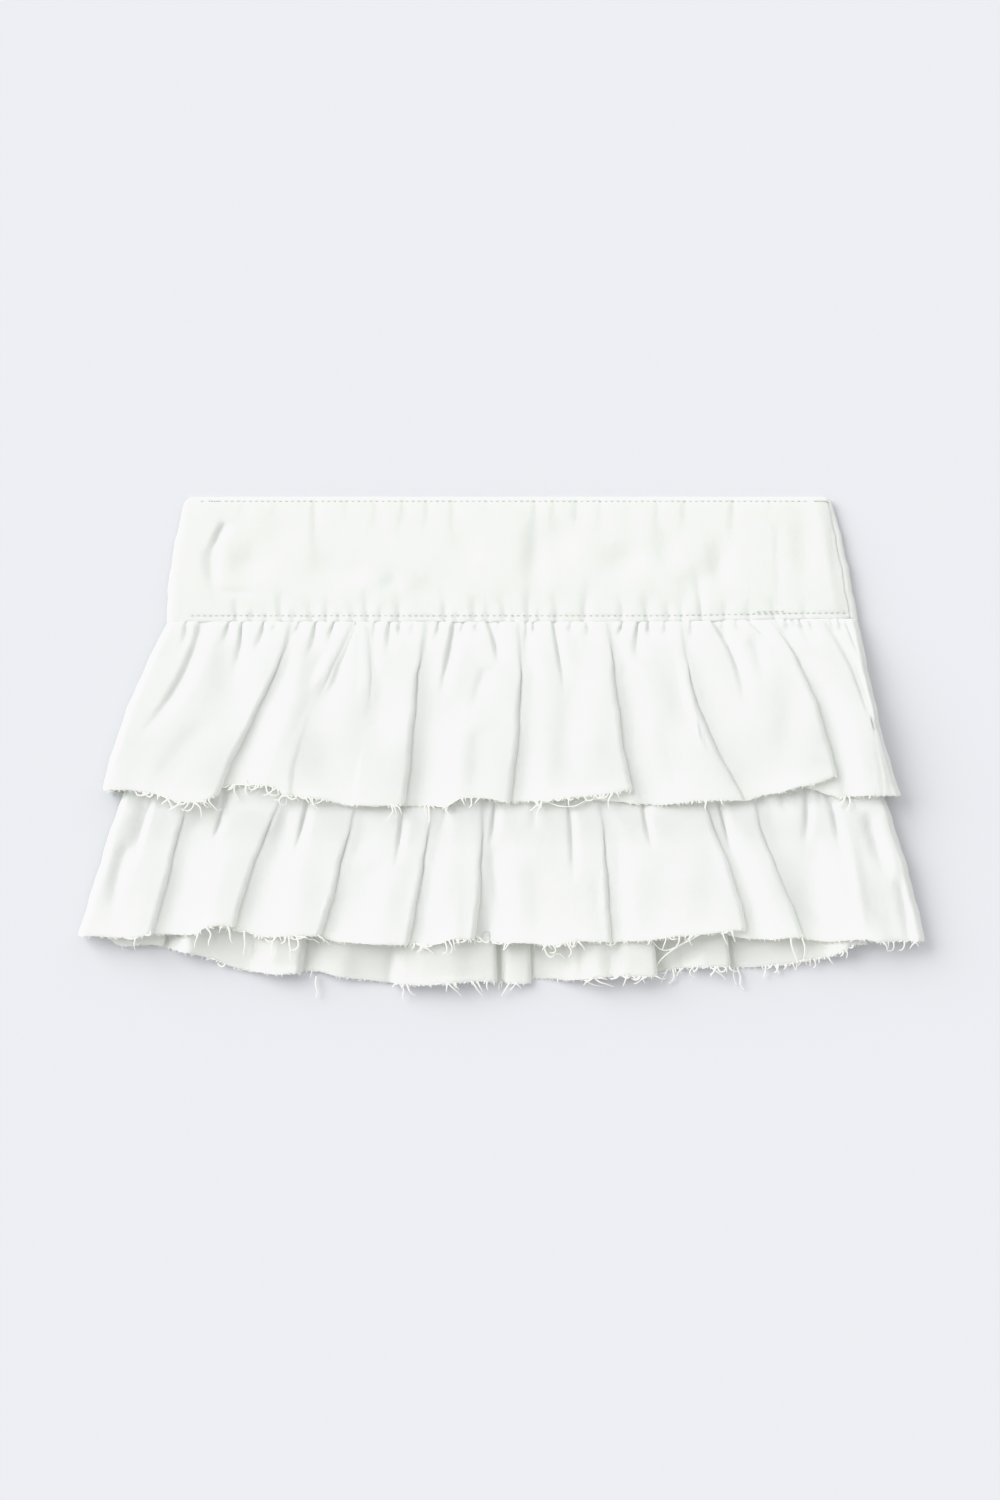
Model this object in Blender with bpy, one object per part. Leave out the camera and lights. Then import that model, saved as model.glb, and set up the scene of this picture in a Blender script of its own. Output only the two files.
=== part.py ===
"""A mini skirt of white denim with a deep yoke and two gathered tiers, laid flat with its front up.

Axes: +X across the skirt, +Y from hem to waist, +Z up from the surface that it lies on. The origin is on that
surface, under the middle of the skirt. Sizes are in millimetres until a mesh is made, which is in metres.

Each tier is a grid of columns and rows. A row is a section across the tier. At each crease the cloth runs
over its edge, back under the panel on its left, and out again along the floor of the fold. The outer and
inner faces are the middle of the cloth moved out along the section's own normals.
"""

import math
import random
from typing import NamedTuple

import bmesh
import bpy

MM = 0.001

# Driving dimensions
DENIM = 1.1  # wall of a single layer
YOKE_WALL = 1.8  # the yoke is cut double
SEAM_GAP = 0.3  # between pieces that are sewn together or lie on each other
WAIST_Y = 142.7
YOKE_SEAM_Y = 70.2
TIER_SEAM_Y = -21.5
SEAM_RISE = 1.7
EDGE_ROLL = 1.3  # how far left of a closed crease the panel starts to roll over
OPEN_ROLL = 0.7  # what an open crease adds to that
FOOT = 0.9  # how far right of a closed crease the panel below leaves the floor
OPEN_FOOT = 1.9  # what an open crease adds to that
LEAST_STEP = 0.8  # between a panel's own columns and those of a fold
SIDE_RUN = 4.2  # what a tier's side takes of its outermost panel
FADED_RISE = 0.6  # height at which the next panel starts where a crease has faded
SEAM_RUN, LONGEST_RUN, RUN_SHARE = 2.5, 15.0, 0.4  # how far a panel takes to rise: at the seam, and below it
HEM_FROM = 0.5  # how far down the hem's own lifts begin to count
PRESSED_FROM, PRESSED_UNTIL = 0.08, 0.8  # from and to which share of the way down a pressed panel lies flat
GATHER_WIDTH = (1.8, 5.0)  # of a gather, at the seam and where it fades
GATHER_FULL = 0.25  # the share of its reach over which a gather keeps its depth
DEEPEST_DIP = 0.85  # of the loft
LAP_FROM = 0.08  # how far down a crease starts to lap
CLOSED_LOFT, CLOSED_LAP = (2.6, 3.1), 2.5  # the loft and the lap that a closed crease needs
EDGE_DROP, EDGE_BACK, LAP_TURN = 0.25, 0.1, 0.35  # a closed crease's edge, and the turn at the end of its lap
OPEN_CREASE = ((-0.6, 0.1), (0.3, 0.4))  # an open crease: x past the closed one's edge, share of the way down
OPEN_LAP = ((1.2, 0.75), (1.95, 0.97))  # the same past the end of its lap
PRESSED_RUN = 6.0  # how far left of a lap a pressed panel starts to climb over it
PRESSED_LOFT = 3.2  # of three pressed layers, between the middles of the first and the last
LEAST_SPACING = 1.8  # between columns at the seam
LAYER = DENIM + 0.45  # between the middles of two layers of a fold
FRAY_DEPTH = 1.0  # the strip that the loose threads are rooted in
FRAY_WALL = 0.9
THREAD_WIDTH = 0.55
ROOT_SPACING = 0.9  # between a thread's middle and the next bend or thread

# How far down a tier each row of its grid lies, from seam to hem
ROWS = (0.0, 0.12, 0.22, 0.42, 0.7, 1.0)


class Side(NamedTuple):
    """x of a tier's silhouette at the seam, a third and two thirds of the way down, and at the hem."""

    seam: float
    third: float
    two_thirds: float
    hem: float


class Fold(NamedTuple):
    """A crease where the cloth on its left lies over the cloth on its right.

    The first four are its x on the way down. lap is how far the cloth runs back under its left neighbour at
    the hem, left_y and right_y are the hem's y on both sides of it, and reach is where it fades.
    """

    name: str
    seam: float
    third: float
    two_thirds: float
    hem: float
    lap: float
    left_y: float
    right_y: float
    reach: float = 1.0


class HemPoint(NamedTuple):
    """A point of the hem between two folds: its place, and the share of the tier's loft that it rises."""

    x: float
    y: float
    lift: float = 1.0


class Gather(NamedTuple):
    """A short crease that starts at the seam: its x there, how far down it fades, and its depth."""

    seam: float
    reach: float
    depth: float = 1.5


class Level(NamedTuple):
    """Heights at a share of the way down: of the folds' floor, and of the panels above that floor."""

    down: float
    floor: float
    loft: float


class Tier(NamedTuple):
    """One half of a ruffle."""

    name: str
    seam_y: float
    left: Side
    right: Side
    side_floor: float
    folds: tuple
    gathers: tuple
    hem: tuple
    levels: tuple
    pressed: bool
    tint: tuple


class Fray(NamedTuple):
    """A stretch of raw hem with loose threads: where it is, how many, and the longest."""

    start: float
    end: float
    threads: int
    longest: float


UPPER_FRONT = Tier(
    name="upper_ruffle_front",
    seam_y=YOKE_SEAM_Y,
    left=Side(-193.4, -209.1, -221.9, -231.1),
    right=Side(206.2, 213.4, 221.0, 231.7),
    side_floor=2.1,
    folds=(
        Fold("first", -123.8, -133.1, -149.4, -163.8, 12, -30.7, -24.9),
        Fold("second", -87.4, -102.4, -116.9, -122.7, 3, -30.5, -30.5, 0.75),
        Fold("third", -80.0, -76.9, -80.9, -86.7, 3, -36.2, -36.2, 0.7),
        Fold("fourth", -45.0, -49.0, -52.2, -56.0, 14, -35.4, -36.5),
        Fold("centre", 7.8, 10.7, 9.0, 4.9, 10, -34.2, -34.2),
        Fold("sixth", 60.0, 65.3, 69.3, 76.0, 34, -27.3, -35.4),
        Fold("seventh", 103.5, 109.3, 122.1, 140.7, 10, -33.1, -33.6),
        Fold("eighth", 154.6, 174.3, 185.9, 194.3, 19, -19.7, -31.9),
        Fold("ninth", 186.5, 202.5, 210.5, 216.5, 3, -30.7, -30.7, 0.6),
    ),
    gathers=(
        Gather(-183.0, 0.18), Gather(-174.3, 0.7, 2.4), Gather(-158.0, 0.15), Gather(-150.5, 0.3),
        Gather(-138.0, 0.2), Gather(-118.5, 0.12), Gather(-107.0, 0.25), Gather(-97.0, 0.15),
        Gather(-71.5, 0.15), Gather(-62.0, 0.2), Gather(-54.5, 0.12), Gather(-36.5, 0.12),
        Gather(-27.6, 0.42, 2.0), Gather(-20.0, 0.12), Gather(-8.4, 0.5, 2.0), Gather(15.5, 0.2),
        Gather(21.5, 0.12), Gather(29.9, 0.42, 1.8), Gather(70.5, 0.12), Gather(80.0, 0.22),
        Gather(88.0, 0.12), Gather(112.0, 0.12), Gather(122.1, 0.5, 2.0), Gather(133.0, 0.2),
        Gather(143.5, 0.25), Gather(164.5, 0.12), Gather(172.0, 0.2), Gather(179.5, 0.12),
        Gather(198.0, 0.3),
    ),
    hem=(
        HemPoint(-215.5, -27.3, 0.9), HemPoint(-204.0, -29.0), HemPoint(-185.3, -34.2),
        HemPoint(-174.9, -34.8),
        HemPoint(-146.0, -24.4, 0.9), HemPoint(-134.3, -24.9),
        HemPoint(-106.0, -32.5, 0.8),
        HemPoint(-70.0, -36.5),
        HemPoint(-31.6, -36.5, 0.8), HemPoint(-24.0, -32.0), HemPoint(-12.5, -31.9),
        HemPoint(22.3, -33.6, 0.8), HemPoint(51.3, -30.7),
        HemPoint(91.9, -36.0, 0.8), HemPoint(115.1, -33.6),
        HemPoint(155.7, -29.6, 0.8), HemPoint(176.0, -25.0),
        HemPoint(205.0, -30.7, 0.8),
        HemPoint(228.5, -30.7, 0.7),
    ),
    levels=(
        Level(0, 6.9, 1.9), Level(0.15, 8.0, 3.4), Level(0.42, 10.0, 4.8), Level(0.7, 12.3, 5.4),
        Level(1, 12.3, 5.6),
    ),
    pressed=False,
    tint=(0.88, 0.9, 0.87),
)

UPPER_BACK = Tier(
    name="upper_ruffle_back",
    seam_y=YOKE_SEAM_Y,
    left=Side(-191.4, -207.1, -219.9, -229.1),
    right=Side(204.2, 211.4, 219.0, 229.7),
    side_floor=0.6,
    folds=(
        Fold("first", -146.0, -155.0, -165.0, -174.0, 9, -29.0, -31.0),
        Fold("second", -96.0, -104.0, -112.0, -119.0, 8, -31.0, -30.0),
        Fold("third", -48.0, -52.0, -57.0, -61.0, 10, -30.0, -32.0),
        Fold("fourth", -2.0, -1.0, 1.0, 3.0, 8, -32.0, -31.0),
        Fold("fifth", 52.0, 56.0, 62.0, 67.0, 9, -30.0, -32.0),
        Fold("sixth", 103.0, 109.0, 116.0, 122.0, 8, -31.0, -30.0),
        Fold("seventh", 150.0, 158.0, 167.0, 176.0, 10, -29.0, -30.0),
    ),
    gathers=(
        Gather(-176.0, 0.3), Gather(-162.0, 0.2), Gather(-128.0, 0.35), Gather(-112.0, 0.2),
        Gather(-78.0, 0.2), Gather(-65.0, 0.35), Gather(-31.0, 0.2), Gather(-17.0, 0.3),
        Gather(16.0, 0.35), Gather(34.0, 0.2), Gather(71.0, 0.2), Gather(86.0, 0.3),
        Gather(119.0, 0.2), Gather(134.0, 0.35), Gather(169.0, 0.2), Gather(186.0, 0.3),
    ),
    hem=(),
    levels=(Level(0, 0.6, 1.9), Level(0.12, 0.6, 2.0), Level(0.22, 0.6, 3.2), Level(1, 0.6, 3.2)),
    pressed=True,
    tint=(0.84, 0.86, 0.83),
)

LOWER_FRONT = Tier(
    name="lower_ruffle_front",
    seam_y=TIER_SEAM_Y,
    left=Side(-216.0, -226.8, -236.1, -245.6),
    right=Side(217.8, 228.8, 238.1, 245.6),
    side_floor=2.1,
    folds=(
        Fold("first", -180.0, -187.1, -194.3, -202.7, 10, -110.8, -110.8),
        Fold("second", -125.6, -135.7, -146.5, -154.3, 10, -106.7, -107.9),
        Fold("third", -80.9, -89.0, -96.0, -105.3, 6, -111.9, -112.5),
        Fold("fourth", -40.9, -43.2, -47.9, -54.5, 6, -117.2, -116.6),
        Fold("fifth", -11.9, -11.9, -12.5, -16.0, 4, -114.3, -114.8),
        Fold("sixth", 52.5, 58.6, 61.5, 63.5, 6, -115.4, -115.4),
        Fold("seventh", 110.5, 123.3, 134.3, 141.8, 12, -108.5, -113.7),
        Fold("eighth", 143.0, 150.5, 162.7, 174.9, 8, -112.5, -113.7),
    ),
    gathers=(
        Gather(-205.5, 0.85, 2.6), Gather(-192.0, 0.15), Gather(-164.0, 0.15), Gather(-154.5, 0.4, 1.8),
        Gather(-143.0, 0.15), Gather(-109.5, 0.5, 1.8), Gather(-98.0, 0.15), Gather(-69.0, 0.15),
        Gather(-56.5, 0.5, 1.6), Gather(-30.0, 0.33), Gather(-3.5, 0.55, 2.2), Gather(7.0, 0.15),
        Gather(18.5, 0.35), Gather(29.0, 0.15), Gather(38.0, 0.5, 1.6), Gather(68.0, 0.15),
        Gather(81.5, 0.42), Gather(95.0, 0.15), Gather(119.5, 0.5, 2.0), Gather(131.0, 0.3),
        Gather(160.5, 0.3), Gather(176.0, 0.42), Gather(190.0, 0.42), Gather(206.0, 0.6, 2.0),
    ),
    hem=(
        HemPoint(-238.1, -111.9, 0.85), HemPoint(-224.0, -112.6, 0.8), HemPoint(-212.0, -113.1),
        HemPoint(-177.8, -111.4, 0.9), HemPoint(-171.0, -106.1), HemPoint(-162.5, -106.1),
        HemPoint(-138.9, -112.5, 0.8), HemPoint(-116.9, -111.9),
        HemPoint(-96.6, -115.4, 0.7), HemPoint(-70.0, -116.8),
        HemPoint(-38.0, -117.2, 0.7), HemPoint(-28.7, -113.7),
        HemPoint(-1.5, -116.0, 0.5), HemPoint(14.0, -116.0, 0.8), HemPoint(31.0, -117.7, 0.9),
        HemPoint(42.6, -114.8),
        HemPoint(80.3, -114.8, 0.85), HemPoint(109.3, -111.4),
        HemPoint(155.0, -114.0, 0.8),
        HemPoint(188.2, -115.4, 0.6), HemPoint(212.0, -113.7), HemPoint(217.0, -116.0),
        HemPoint(229.0, -115.0, 0.9),
    ),
    levels=(
        Level(0, 8.8, 1.8), Level(0.14, 8.8, 1.9), Level(0.21, 8.2, 3.1), Level(0.4, 6.0, 4.8),
        Level(0.7, 5.6, 6.0), Level(1, 6.2, 6.0),
    ),
    pressed=False,
    tint=(0.9, 0.92, 0.89),
)

LOWER_BACK = Tier(
    name="lower_ruffle_back",
    seam_y=TIER_SEAM_Y,
    left=Side(-211.5, -222.0, -230.5, -237.5),
    right=Side(213.3, 224.3, 231.0, 236.5),
    side_floor=0.6,
    folds=(
        Fold("first", -176.0, -183.0, -190.0, -196.0, 5, -117.2, -119.0),
        Fold("second", -100.0, -106.0, -112.0, -118.0, 5, -134.0, -132.5),
        Fold("third", -6.0, -5.5, -4.0, -2.5, 5, -138.6, -138.6),
        Fold("fourth", 15.0, 15.8, 16.5, 17.1, 9, -139.8, -136.9),
        Fold("fifth", 78.0, 82.0, 86.5, 90.2, 9, -135.7, -132.8),
        Fold("sixth", 118.0, 123.0, 128.5, 133.1, 8, -130.2, -130.5),
        Fold("seventh", 182.0, 192.0, 203.0, 213.0, 5, -117.0, -113.0),
    ),
    gathers=(
        Gather(-198.0, 0.3), Gather(-156.0, 0.25), Gather(-136.0, 0.35), Gather(-118.0, 0.2),
        Gather(-80.0, 0.2), Gather(-60.0, 0.35), Gather(-42.0, 0.2), Gather(-24.0, 0.3),
        Gather(34.0, 0.35), Gather(55.0, 0.2), Gather(98.0, 0.25), Gather(140.0, 0.35),
        Gather(160.0, 0.2), Gather(200.0, 0.3),
    ),
    hem=(
        HemPoint(-233.5, -110.5, 0.4), HemPoint(-220.7, -118.3, 0.45), HemPoint(-207.4, -117.2, 0.5),
        HemPoint(-183.0, -121.8, 1.0), HemPoint(-170.8, -124.7, 0.25), HemPoint(-146.5, -132.8, 0.1),
        HemPoint(-131.4, -134.6, 0.75),
        HemPoint(-105.3, -132.8, 0.3), HemPoint(-82.1, -137.5, 0.1), HemPoint(-64.7, -139.2, 0.0),
        HemPoint(-44.4, -140.9, 0.8), HemPoint(-16.0, -138.6, 1.0),
        HemPoint(1.5, -138.6, 0.1), HemPoint(10.7, -139.2, 0.9),
        HemPoint(27.6, -136.9, 0.05), HemPoint(46.7, -137.5, 0.75), HemPoint(57.1, -136.3, 0.95),
        HemPoint(74.5, -135.1, 0.9),
        HemPoint(100.6, -131.7, 0.1), HemPoint(119.0, -129.9, 0.6),
        HemPoint(141.2, -130.5, 0.05), HemPoint(163.8, -129.3, 0.1), HemPoint(188.2, -124.7, 0.35),
        HemPoint(205.6, -118.9, 0.8),
        HemPoint(225.0, -109.0, 0.4),
    ),
    levels=(
        Level(0, 5.3, 1.8), Level(0.14, 5.3, 1.9), Level(0.24, 0.6, 3.2), Level(0.8, 0.6, 3.2),
        Level(1, 0.6, 8.8),
    ),
    pressed=True,
    tint=(0.8, 0.82, 0.79),
)

FRAYS = (
    ("upper_front_fray", UPPER_FRONT, (
        Fray(-206, -166, 8, 6), Fray(-158, -118, 7, 7), Fray(-116, -100, 3, 5), Fray(-66, -58, 2, 4),
        Fray(-45, -14, 6, 5), Fray(8, 70, 10, 8), Fray(97, 130, 3, 4), Fray(200, 218, 2, 5))),
    ("upper_back_fray", UPPER_BACK, (
        Fray(-215, -180, 3, 4), Fray(-160, -125, 3, 4), Fray(-50, -8, 3, 4), Fray(75, 110, 3, 4),
        Fray(182, 215, 3, 4))),
    ("lower_front_fray", LOWER_FRONT, (
        Fray(-218, -205, 3, 5), Fray(-178, -157, 5, 8), Fray(-148, -112, 6, 7), Fray(-52, -38, 3, 6),
        Fray(-36, -20, 4, 7), Fray(-2, 11, 3, 6), Fray(24, 46, 5, 8), Fray(86, 130, 5, 9),
        Fray(148, 166, 2, 11), Fray(219, 240, 5, 5))),
    ("lower_back_fray", LOWER_BACK, (
        Fray(-168, -160, 2, 5), Fray(-111, -106, 1, 9), Fray(-62, -54, 2, 6), Fray(-36, -12, 6, 7),
        Fray(24, 30, 2, 8), Fray(49, 60, 3, 7), Fray(66, 86, 6, 6), Fray(95, 128, 8, 8),
        Fray(136, 144, 2, 10), Fray(151, 163, 3, 6), Fray(166, 206, 9, 4))),
)


def smooth(t):
    """0 up to t = 0, 1 from t = 1, and level at both ends."""
    t = min(1.0, max(0.0, t))
    return t * t * (3 - 2 * t)


def mix(a, b, t):
    return a + (b - a) * t


def along(line, down):
    """x of a Side or a Fold, on the cubic through its four places."""
    places = (line.seam, line.third, line.two_thirds, line.hem)
    total = 0.0
    for i, place in enumerate(places):
        weight = 1.0
        for j in range(4):
            if j != i:
                weight *= (3 * down - j) / (i - j)
        total += place * weight
    return total


def between(rows, at, read):
    """A value read from rows sorted by their first column, eased from each row to the next."""
    if at <= rows[0][0]:
        return read(rows[0])
    for low, high in zip(rows, rows[1:]):
        if at <= high[0]:
            return mix(read(low), read(high), smooth((at - low[0]) / (high[0] - low[0])))
    return read(rows[-1])


def seam_rise(x):
    """The seams run up a little over the last stretch towards the right side."""
    return SEAM_RISE * smooth((x - 80) / 120)


# A tier's section

class Panel:
    """The cloth between two folds, or between a fold and the tier's side."""

    def __init__(self, tier, index):
        lines = (tier.left, *tier.folds, tier.right)
        self.tier = tier
        self.start, self.end = lines[index], lines[index + 1]
        starts_in_fold, ends_in_fold = index > 0, index + 1 < len(lines) - 1
        inside = [p for p in tier.hem if self.start.hem < p.x < self.end.hem]
        start_y = self.start.right_y if starts_in_fold else None
        end_y = self.end.left_y if ends_in_fold else None
        nominal = start_y if start_y is not None else end_y
        start_y = inside[0].y if start_y is None and inside else start_y or nominal
        end_y = inside[-1].y if end_y is None and inside else end_y or nominal
        flat = 0.0 if tier.pressed else 1.0
        first_lift = inside[0].lift if inside else flat
        last_lift = inside[-1].lift if inside else flat
        first = HemPoint(self.start.hem, start_y, first_lift)
        last = HemPoint(self.end.hem, end_y, last_lift)
        self.hem = [first, *inside, last]
        self.gathers = [g for g in tier.gathers if self.start.seam < g.seam < self.end.seam]
        self.starts_in_fold, self.ends_in_fold = starts_in_fold, ends_in_fold

    def edges(self, down):
        """x of the lines that the panel lies between."""
        return along(self.start, down), along(self.end, down)

    def clear(self, down):
        """x of the stretch that neither the folds nor the side take."""
        left, right = self.edges(down)
        left += SIDE_RUN
        if self.starts_in_fold:
            left += foot(self.tier, self.start, down) + LEAST_STEP - SIDE_RUN
        if not self.ends_in_fold:
            return left, right - SIDE_RUN
        if self.tier.pressed:
            return left, right - lap_at(self.end, down) - PRESSED_RUN - LEAST_STEP
        return left, right - roll(self.tier, self.end, down) - LEAST_STEP

    def share_of(self, x, down):
        left, right = self.clear(down)
        return (x - left) / (right - left)

    def hem_y(self, share):
        return between(self.hem, mix(*self.clear(1.0), share), lambda p: p.y)

    def lift(self, share, down):
        """The share of the loft that the cloth takes there: even at the seam, as the hem says at the hem."""
        at_hem = between(self.hem, mix(*self.clear(1.0), share), lambda p: p.lift)
        return mix(1.0, at_hem, smooth((down - HEM_FROM) / (1 - HEM_FROM)))

    def height(self, x, down):
        """z of the middle of the cloth at x."""
        left, right = self.edges(down)
        share = self.share_of(x, down)
        floor = between(self.tier.levels, down, lambda level: level.floor)
        loft = between(self.tier.levels, down, lambda level: level.loft)
        rise = self.lift(share, down)
        if self.tier.pressed:
            lifted = smooth((down - PRESSED_UNTIL) / (1 - PRESSED_UNTIL))
            rise = max(1 - smooth(down / PRESSED_FROM), lifted * rise)
        if self.starts_in_fold:
            run = mix(SEAM_RUN, min(LONGEST_RUN, RUN_SHARE * (right - left)), smooth(2 * down))
            start = FADED_RISE * (1 - strength(self.start, down))
            climbed = (x - left - foot(self.tier, self.start, down)) / run
            rise *= mix(start, 1.0, smooth(climbed))
        dip = 0.0
        for gather in self.gathers:
            centre = mix(*self.clear(down), self.share_of(gather.seam, 0.0))
            width = mix(*GATHER_WIDTH, smooth(down / gather.reach))
            fade = 1 - smooth((down / gather.reach - GATHER_FULL) / (1 - GATHER_FULL))
            dip += gather.depth * fade * math.exp(-(((x - centre) / width) ** 2))
        return floor + max(loft * rise - min(dip, DEEPEST_DIP * loft), 0.0)


def strength(fold, down):
    """1 where a crease is a full fold, 0 where it has faded to a soft trough."""
    return 1 - smooth((down - 0.5 * fold.reach) / (0.4 * fold.reach)) if fold.reach < 1 else 1.0


def lap_at(fold, down):
    """How far the cloth runs back under its left neighbour, that far down."""
    return fold.lap * smooth((down - LAP_FROM) / (1 - LAP_FROM)) * strength(fold, down)


def looseness(tier, fold, down):
    """How far a fold stands open: fully where it has no height or no lap to turn in, and where it fades."""
    loft = between(tier.levels, down, lambda level: level.loft)
    tall = smooth((loft - CLOSED_LOFT[0]) / (CLOSED_LOFT[1] - CLOSED_LOFT[0]))
    return 1 - min(tall, smooth(lap_at(fold, down) / CLOSED_LAP), strength(fold, down))


def roll(tier, fold, down):
    """How far left of a crease the panel starts to roll over."""
    return EDGE_ROLL + OPEN_ROLL * looseness(tier, fold, down)


def foot(tier, fold, down):
    """How far right of a crease the panel below leaves the fold's floor."""
    return FOOT + OPEN_FOOT * looseness(tier, fold, down)


def fold_steps(left_panel, right_panel, down):
    """The cloth's way round a fold, as (x, z, share of the way from the left hem to the right one)."""
    fold, tier = left_panel.end, left_panel.tier
    crease = along(fold, down)
    lap, loose = lap_at(fold, down), looseness(tier, fold, down)
    floor = between(tier.levels, down, lambda level: level.floor)
    loft = between(tier.levels, down, lambda level: level.loft)
    edge = left_panel.clear(down)[1]
    top = left_panel.height(edge, down)
    steps = []
    if tier.pressed:
        steps.append((crease - lap - PRESSED_RUN, top, 0.0))
        top = max(top, floor + min(loft, PRESSED_LOFT))
        steps.append((crease - lap - 1.0 - roll(tier, fold, down), top, 0.0))
    floor = mix(floor, right_panel.height(right_panel.clear(down)[0], down) - 0.1, 1 - strength(fold, down))
    gap = min(LAYER, 0.485 * (top - floor))
    closed = [(0.0, top - EDGE_DROP * gap), (-EDGE_BACK, top - gap)]
    closed += [(-lap, floor + gap), (LAP_TURN - lap, floor)]
    opened = [(x, mix(top, floor, share)) for x, share in OPEN_CREASE]
    opened += [(x - lap, mix(top, floor, share)) for x, share in OPEN_LAP]
    steps.append((crease - roll(tier, fold, down), top, 0.0))
    for (x, z), (open_x, open_z), way in zip(closed, opened, (0.0, 0.0, 0.5, 0.5)):
        steps.append((crease + mix(x, open_x, loose), mix(z, open_z, loose), way))
    return [*steps, (crease + foot(tier, fold, down), floor, 1.0)]


def panels_of(tier):
    return [Panel(tier, index) for index in range(len(tier.folds) + 1)]


def panel_shares(panel):
    """Where a panel has columns: at both ends, in and between its gathers, and at the hem's own points."""
    notches = sorted(panel.share_of(g.seam, 0.0) for g in panel.gathers)
    shares = [panel.share_of(p.x, 1.0) for p in panel.hem[1:-1]]
    shares += notches + [(a + b) / 2 for a, b in zip(notches, notches[1:])]
    left, right = panel.clear(0.0)
    spacing = max(0.04, LEAST_SPACING / (right - left))
    kept = [0.0]
    for share in sorted(shares):
        if kept[-1] + spacing < share < 1 - spacing:
            kept.append(share)
    return [*kept, 1.0]


def side_steps(panel, down, left_side):
    """The tier's own side, from where it meets the other half up to the panel."""
    edge = along(panel.tier.left if left_side else panel.tier.right, down)
    inward = 1 if left_side else -1
    low = panel.tier.side_floor
    inner = edge + inward * 3.0
    top = panel.height(inner, down)
    if panel.tier.pressed:
        floor = between(panel.tier.levels, down, lambda level: level.floor)
        steps = [(edge, floor), (inner, top)]
    else:
        steps = [(edge + inward * 1.6, low), (edge, low + 1.4), (edge, mix(low, top, 0.65)), (inner, top)]
    return steps if left_side else steps[::-1]


def section(tier, down, panels):
    """The middle of the cloth across the tier, as (x, y of the hem there, z), from left to right."""
    line = [(x, panels[0].hem_y(0.0), z) for x, z in side_steps(panels[0], down, True)]
    for index, panel in enumerate(panels):
        for share in panel_shares(panel):
            x = mix(*panel.clear(down), share)
            line.append((x, panel.hem_y(share), panel.height(x, down)))
        if panel.ends_in_fold:
            for x, z, way in fold_steps(panel, panels[index + 1], down):
                line.append((x, mix(panel.end.left_y, panel.end.right_y, way), z))
    line += [(x, panels[-1].hem_y(1.0), z) for x, z in side_steps(panels[-1], down, False)]
    return line


def normals(line):
    """Unit normals in the section's own plane, each with the stretch that keeps the wall even at a bend."""
    turned = []
    for a, b in zip(line, line[1:]):
        dx, dz = b[0] - a[0], b[2] - a[2]
        length = math.hypot(dx, dz) or 1e-9
        turned.append((-dz / length, dx / length))
    out = []
    for index in range(len(line)):
        before = turned[max(0, index - 1)]
        after = turned[min(len(turned) - 1, index)]
        nx, nz = before[0] + after[0], before[1] + after[1]
        length = math.hypot(nx, nz) or 1e-9
        nx, nz = nx / length, nz / length
        stretch = min(1.35, 1 / max(0.2, nx * after[0] + nz * after[1]))
        out.append((nx * stretch, nz * stretch))
    return out


# Meshes

def material(name, tint):
    made = bpy.data.materials.new(name)
    made.use_nodes = True
    shader = made.node_tree.nodes["Principled BSDF"]
    shader.inputs["Base Color"].default_value = (*tint, 1.0)
    shader.inputs["Roughness"].default_value = 0.85
    shader.inputs["Metallic"].default_value = 0.0
    return made


def finish(mesh_builder, name, tint):
    """Turns a bmesh in millimetres into a named object in metres."""
    bmesh.ops.recalc_face_normals(mesh_builder, faces=mesh_builder.faces)
    bmesh.ops.scale(mesh_builder, vec=(MM, MM, MM), verts=mesh_builder.verts)
    mesh = bpy.data.meshes.new(name)
    mesh_builder.to_mesh(mesh)
    mesh_builder.free()
    mesh.materials.append(material(name, tint))
    mesh.shade_smooth()
    mesh.set_sharp_from_angle(angle=math.radians(50))
    made = bpy.data.objects.new(name, mesh)
    bpy.context.collection.objects.link(made)
    return made


def wall(mesh_builder, rows, half):
    """A closed wall round a grid of middle points: outer and inner faces, and the four edges."""
    layers = []
    for side in (1, -1):
        layer = []
        for row in rows:
            turned = normals(row)
            layer.append([
                mesh_builder.verts.new((x + side * half * nx, y, z + side * half * nz))
                for (x, y, z), (nx, nz) in zip(row, turned)
            ])
        layers.append(layer)
    outer, inner = layers
    last_row, last_column = len(rows) - 1, len(rows[0]) - 1
    for r in range(last_row):
        for c in range(last_column):
            for layer in layers:
                mesh_builder.faces.new((layer[r][c], layer[r][c + 1], layer[r + 1][c + 1], layer[r + 1][c]))
        for c in (0, last_column):
            mesh_builder.faces.new((outer[r][c], outer[r + 1][c], inner[r + 1][c], inner[r][c]))
    for c in range(last_column):
        for r in (0, last_row):
            mesh_builder.faces.new((outer[r][c], outer[r][c + 1], inner[r][c + 1], inner[r][c]))


def tier_solid(tier):
    panels = panels_of(tier)
    rows = []
    for down in ROWS:
        rows.append([
            (x, mix(tier.seam_y + seam_rise(x) - SEAM_GAP, hem_y, down), z)
            for x, hem_y, z in section(tier, down, panels)
        ])
    mesh_builder = bmesh.new()
    wall(mesh_builder, rows, DENIM / 2)
    return finish(mesh_builder, tier.name, tier.tint)


def root_places(line, stretches, chance):
    """Where the threads are rooted: x and longest length of the threads in each step of the hem's line."""
    places = {}
    for stretch in stretches:
        for index in range(stretch.threads):
            place = (index + chance.uniform(0.3, 0.7)) / stretch.threads
            x = mix(stretch.start, stretch.end, place)
            step = next(i for i in range(len(line) - 1) if line[i][0] <= x < line[i + 1][0])
            taken = places.setdefault(step, [])
            x = max(x, (taken[-1][0] if taken else line[step][0]) + ROOT_SPACING)
            if x < line[step + 1][0] - ROOT_SPACING:
                taken.append((x, stretch.longest))
    return places


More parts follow.
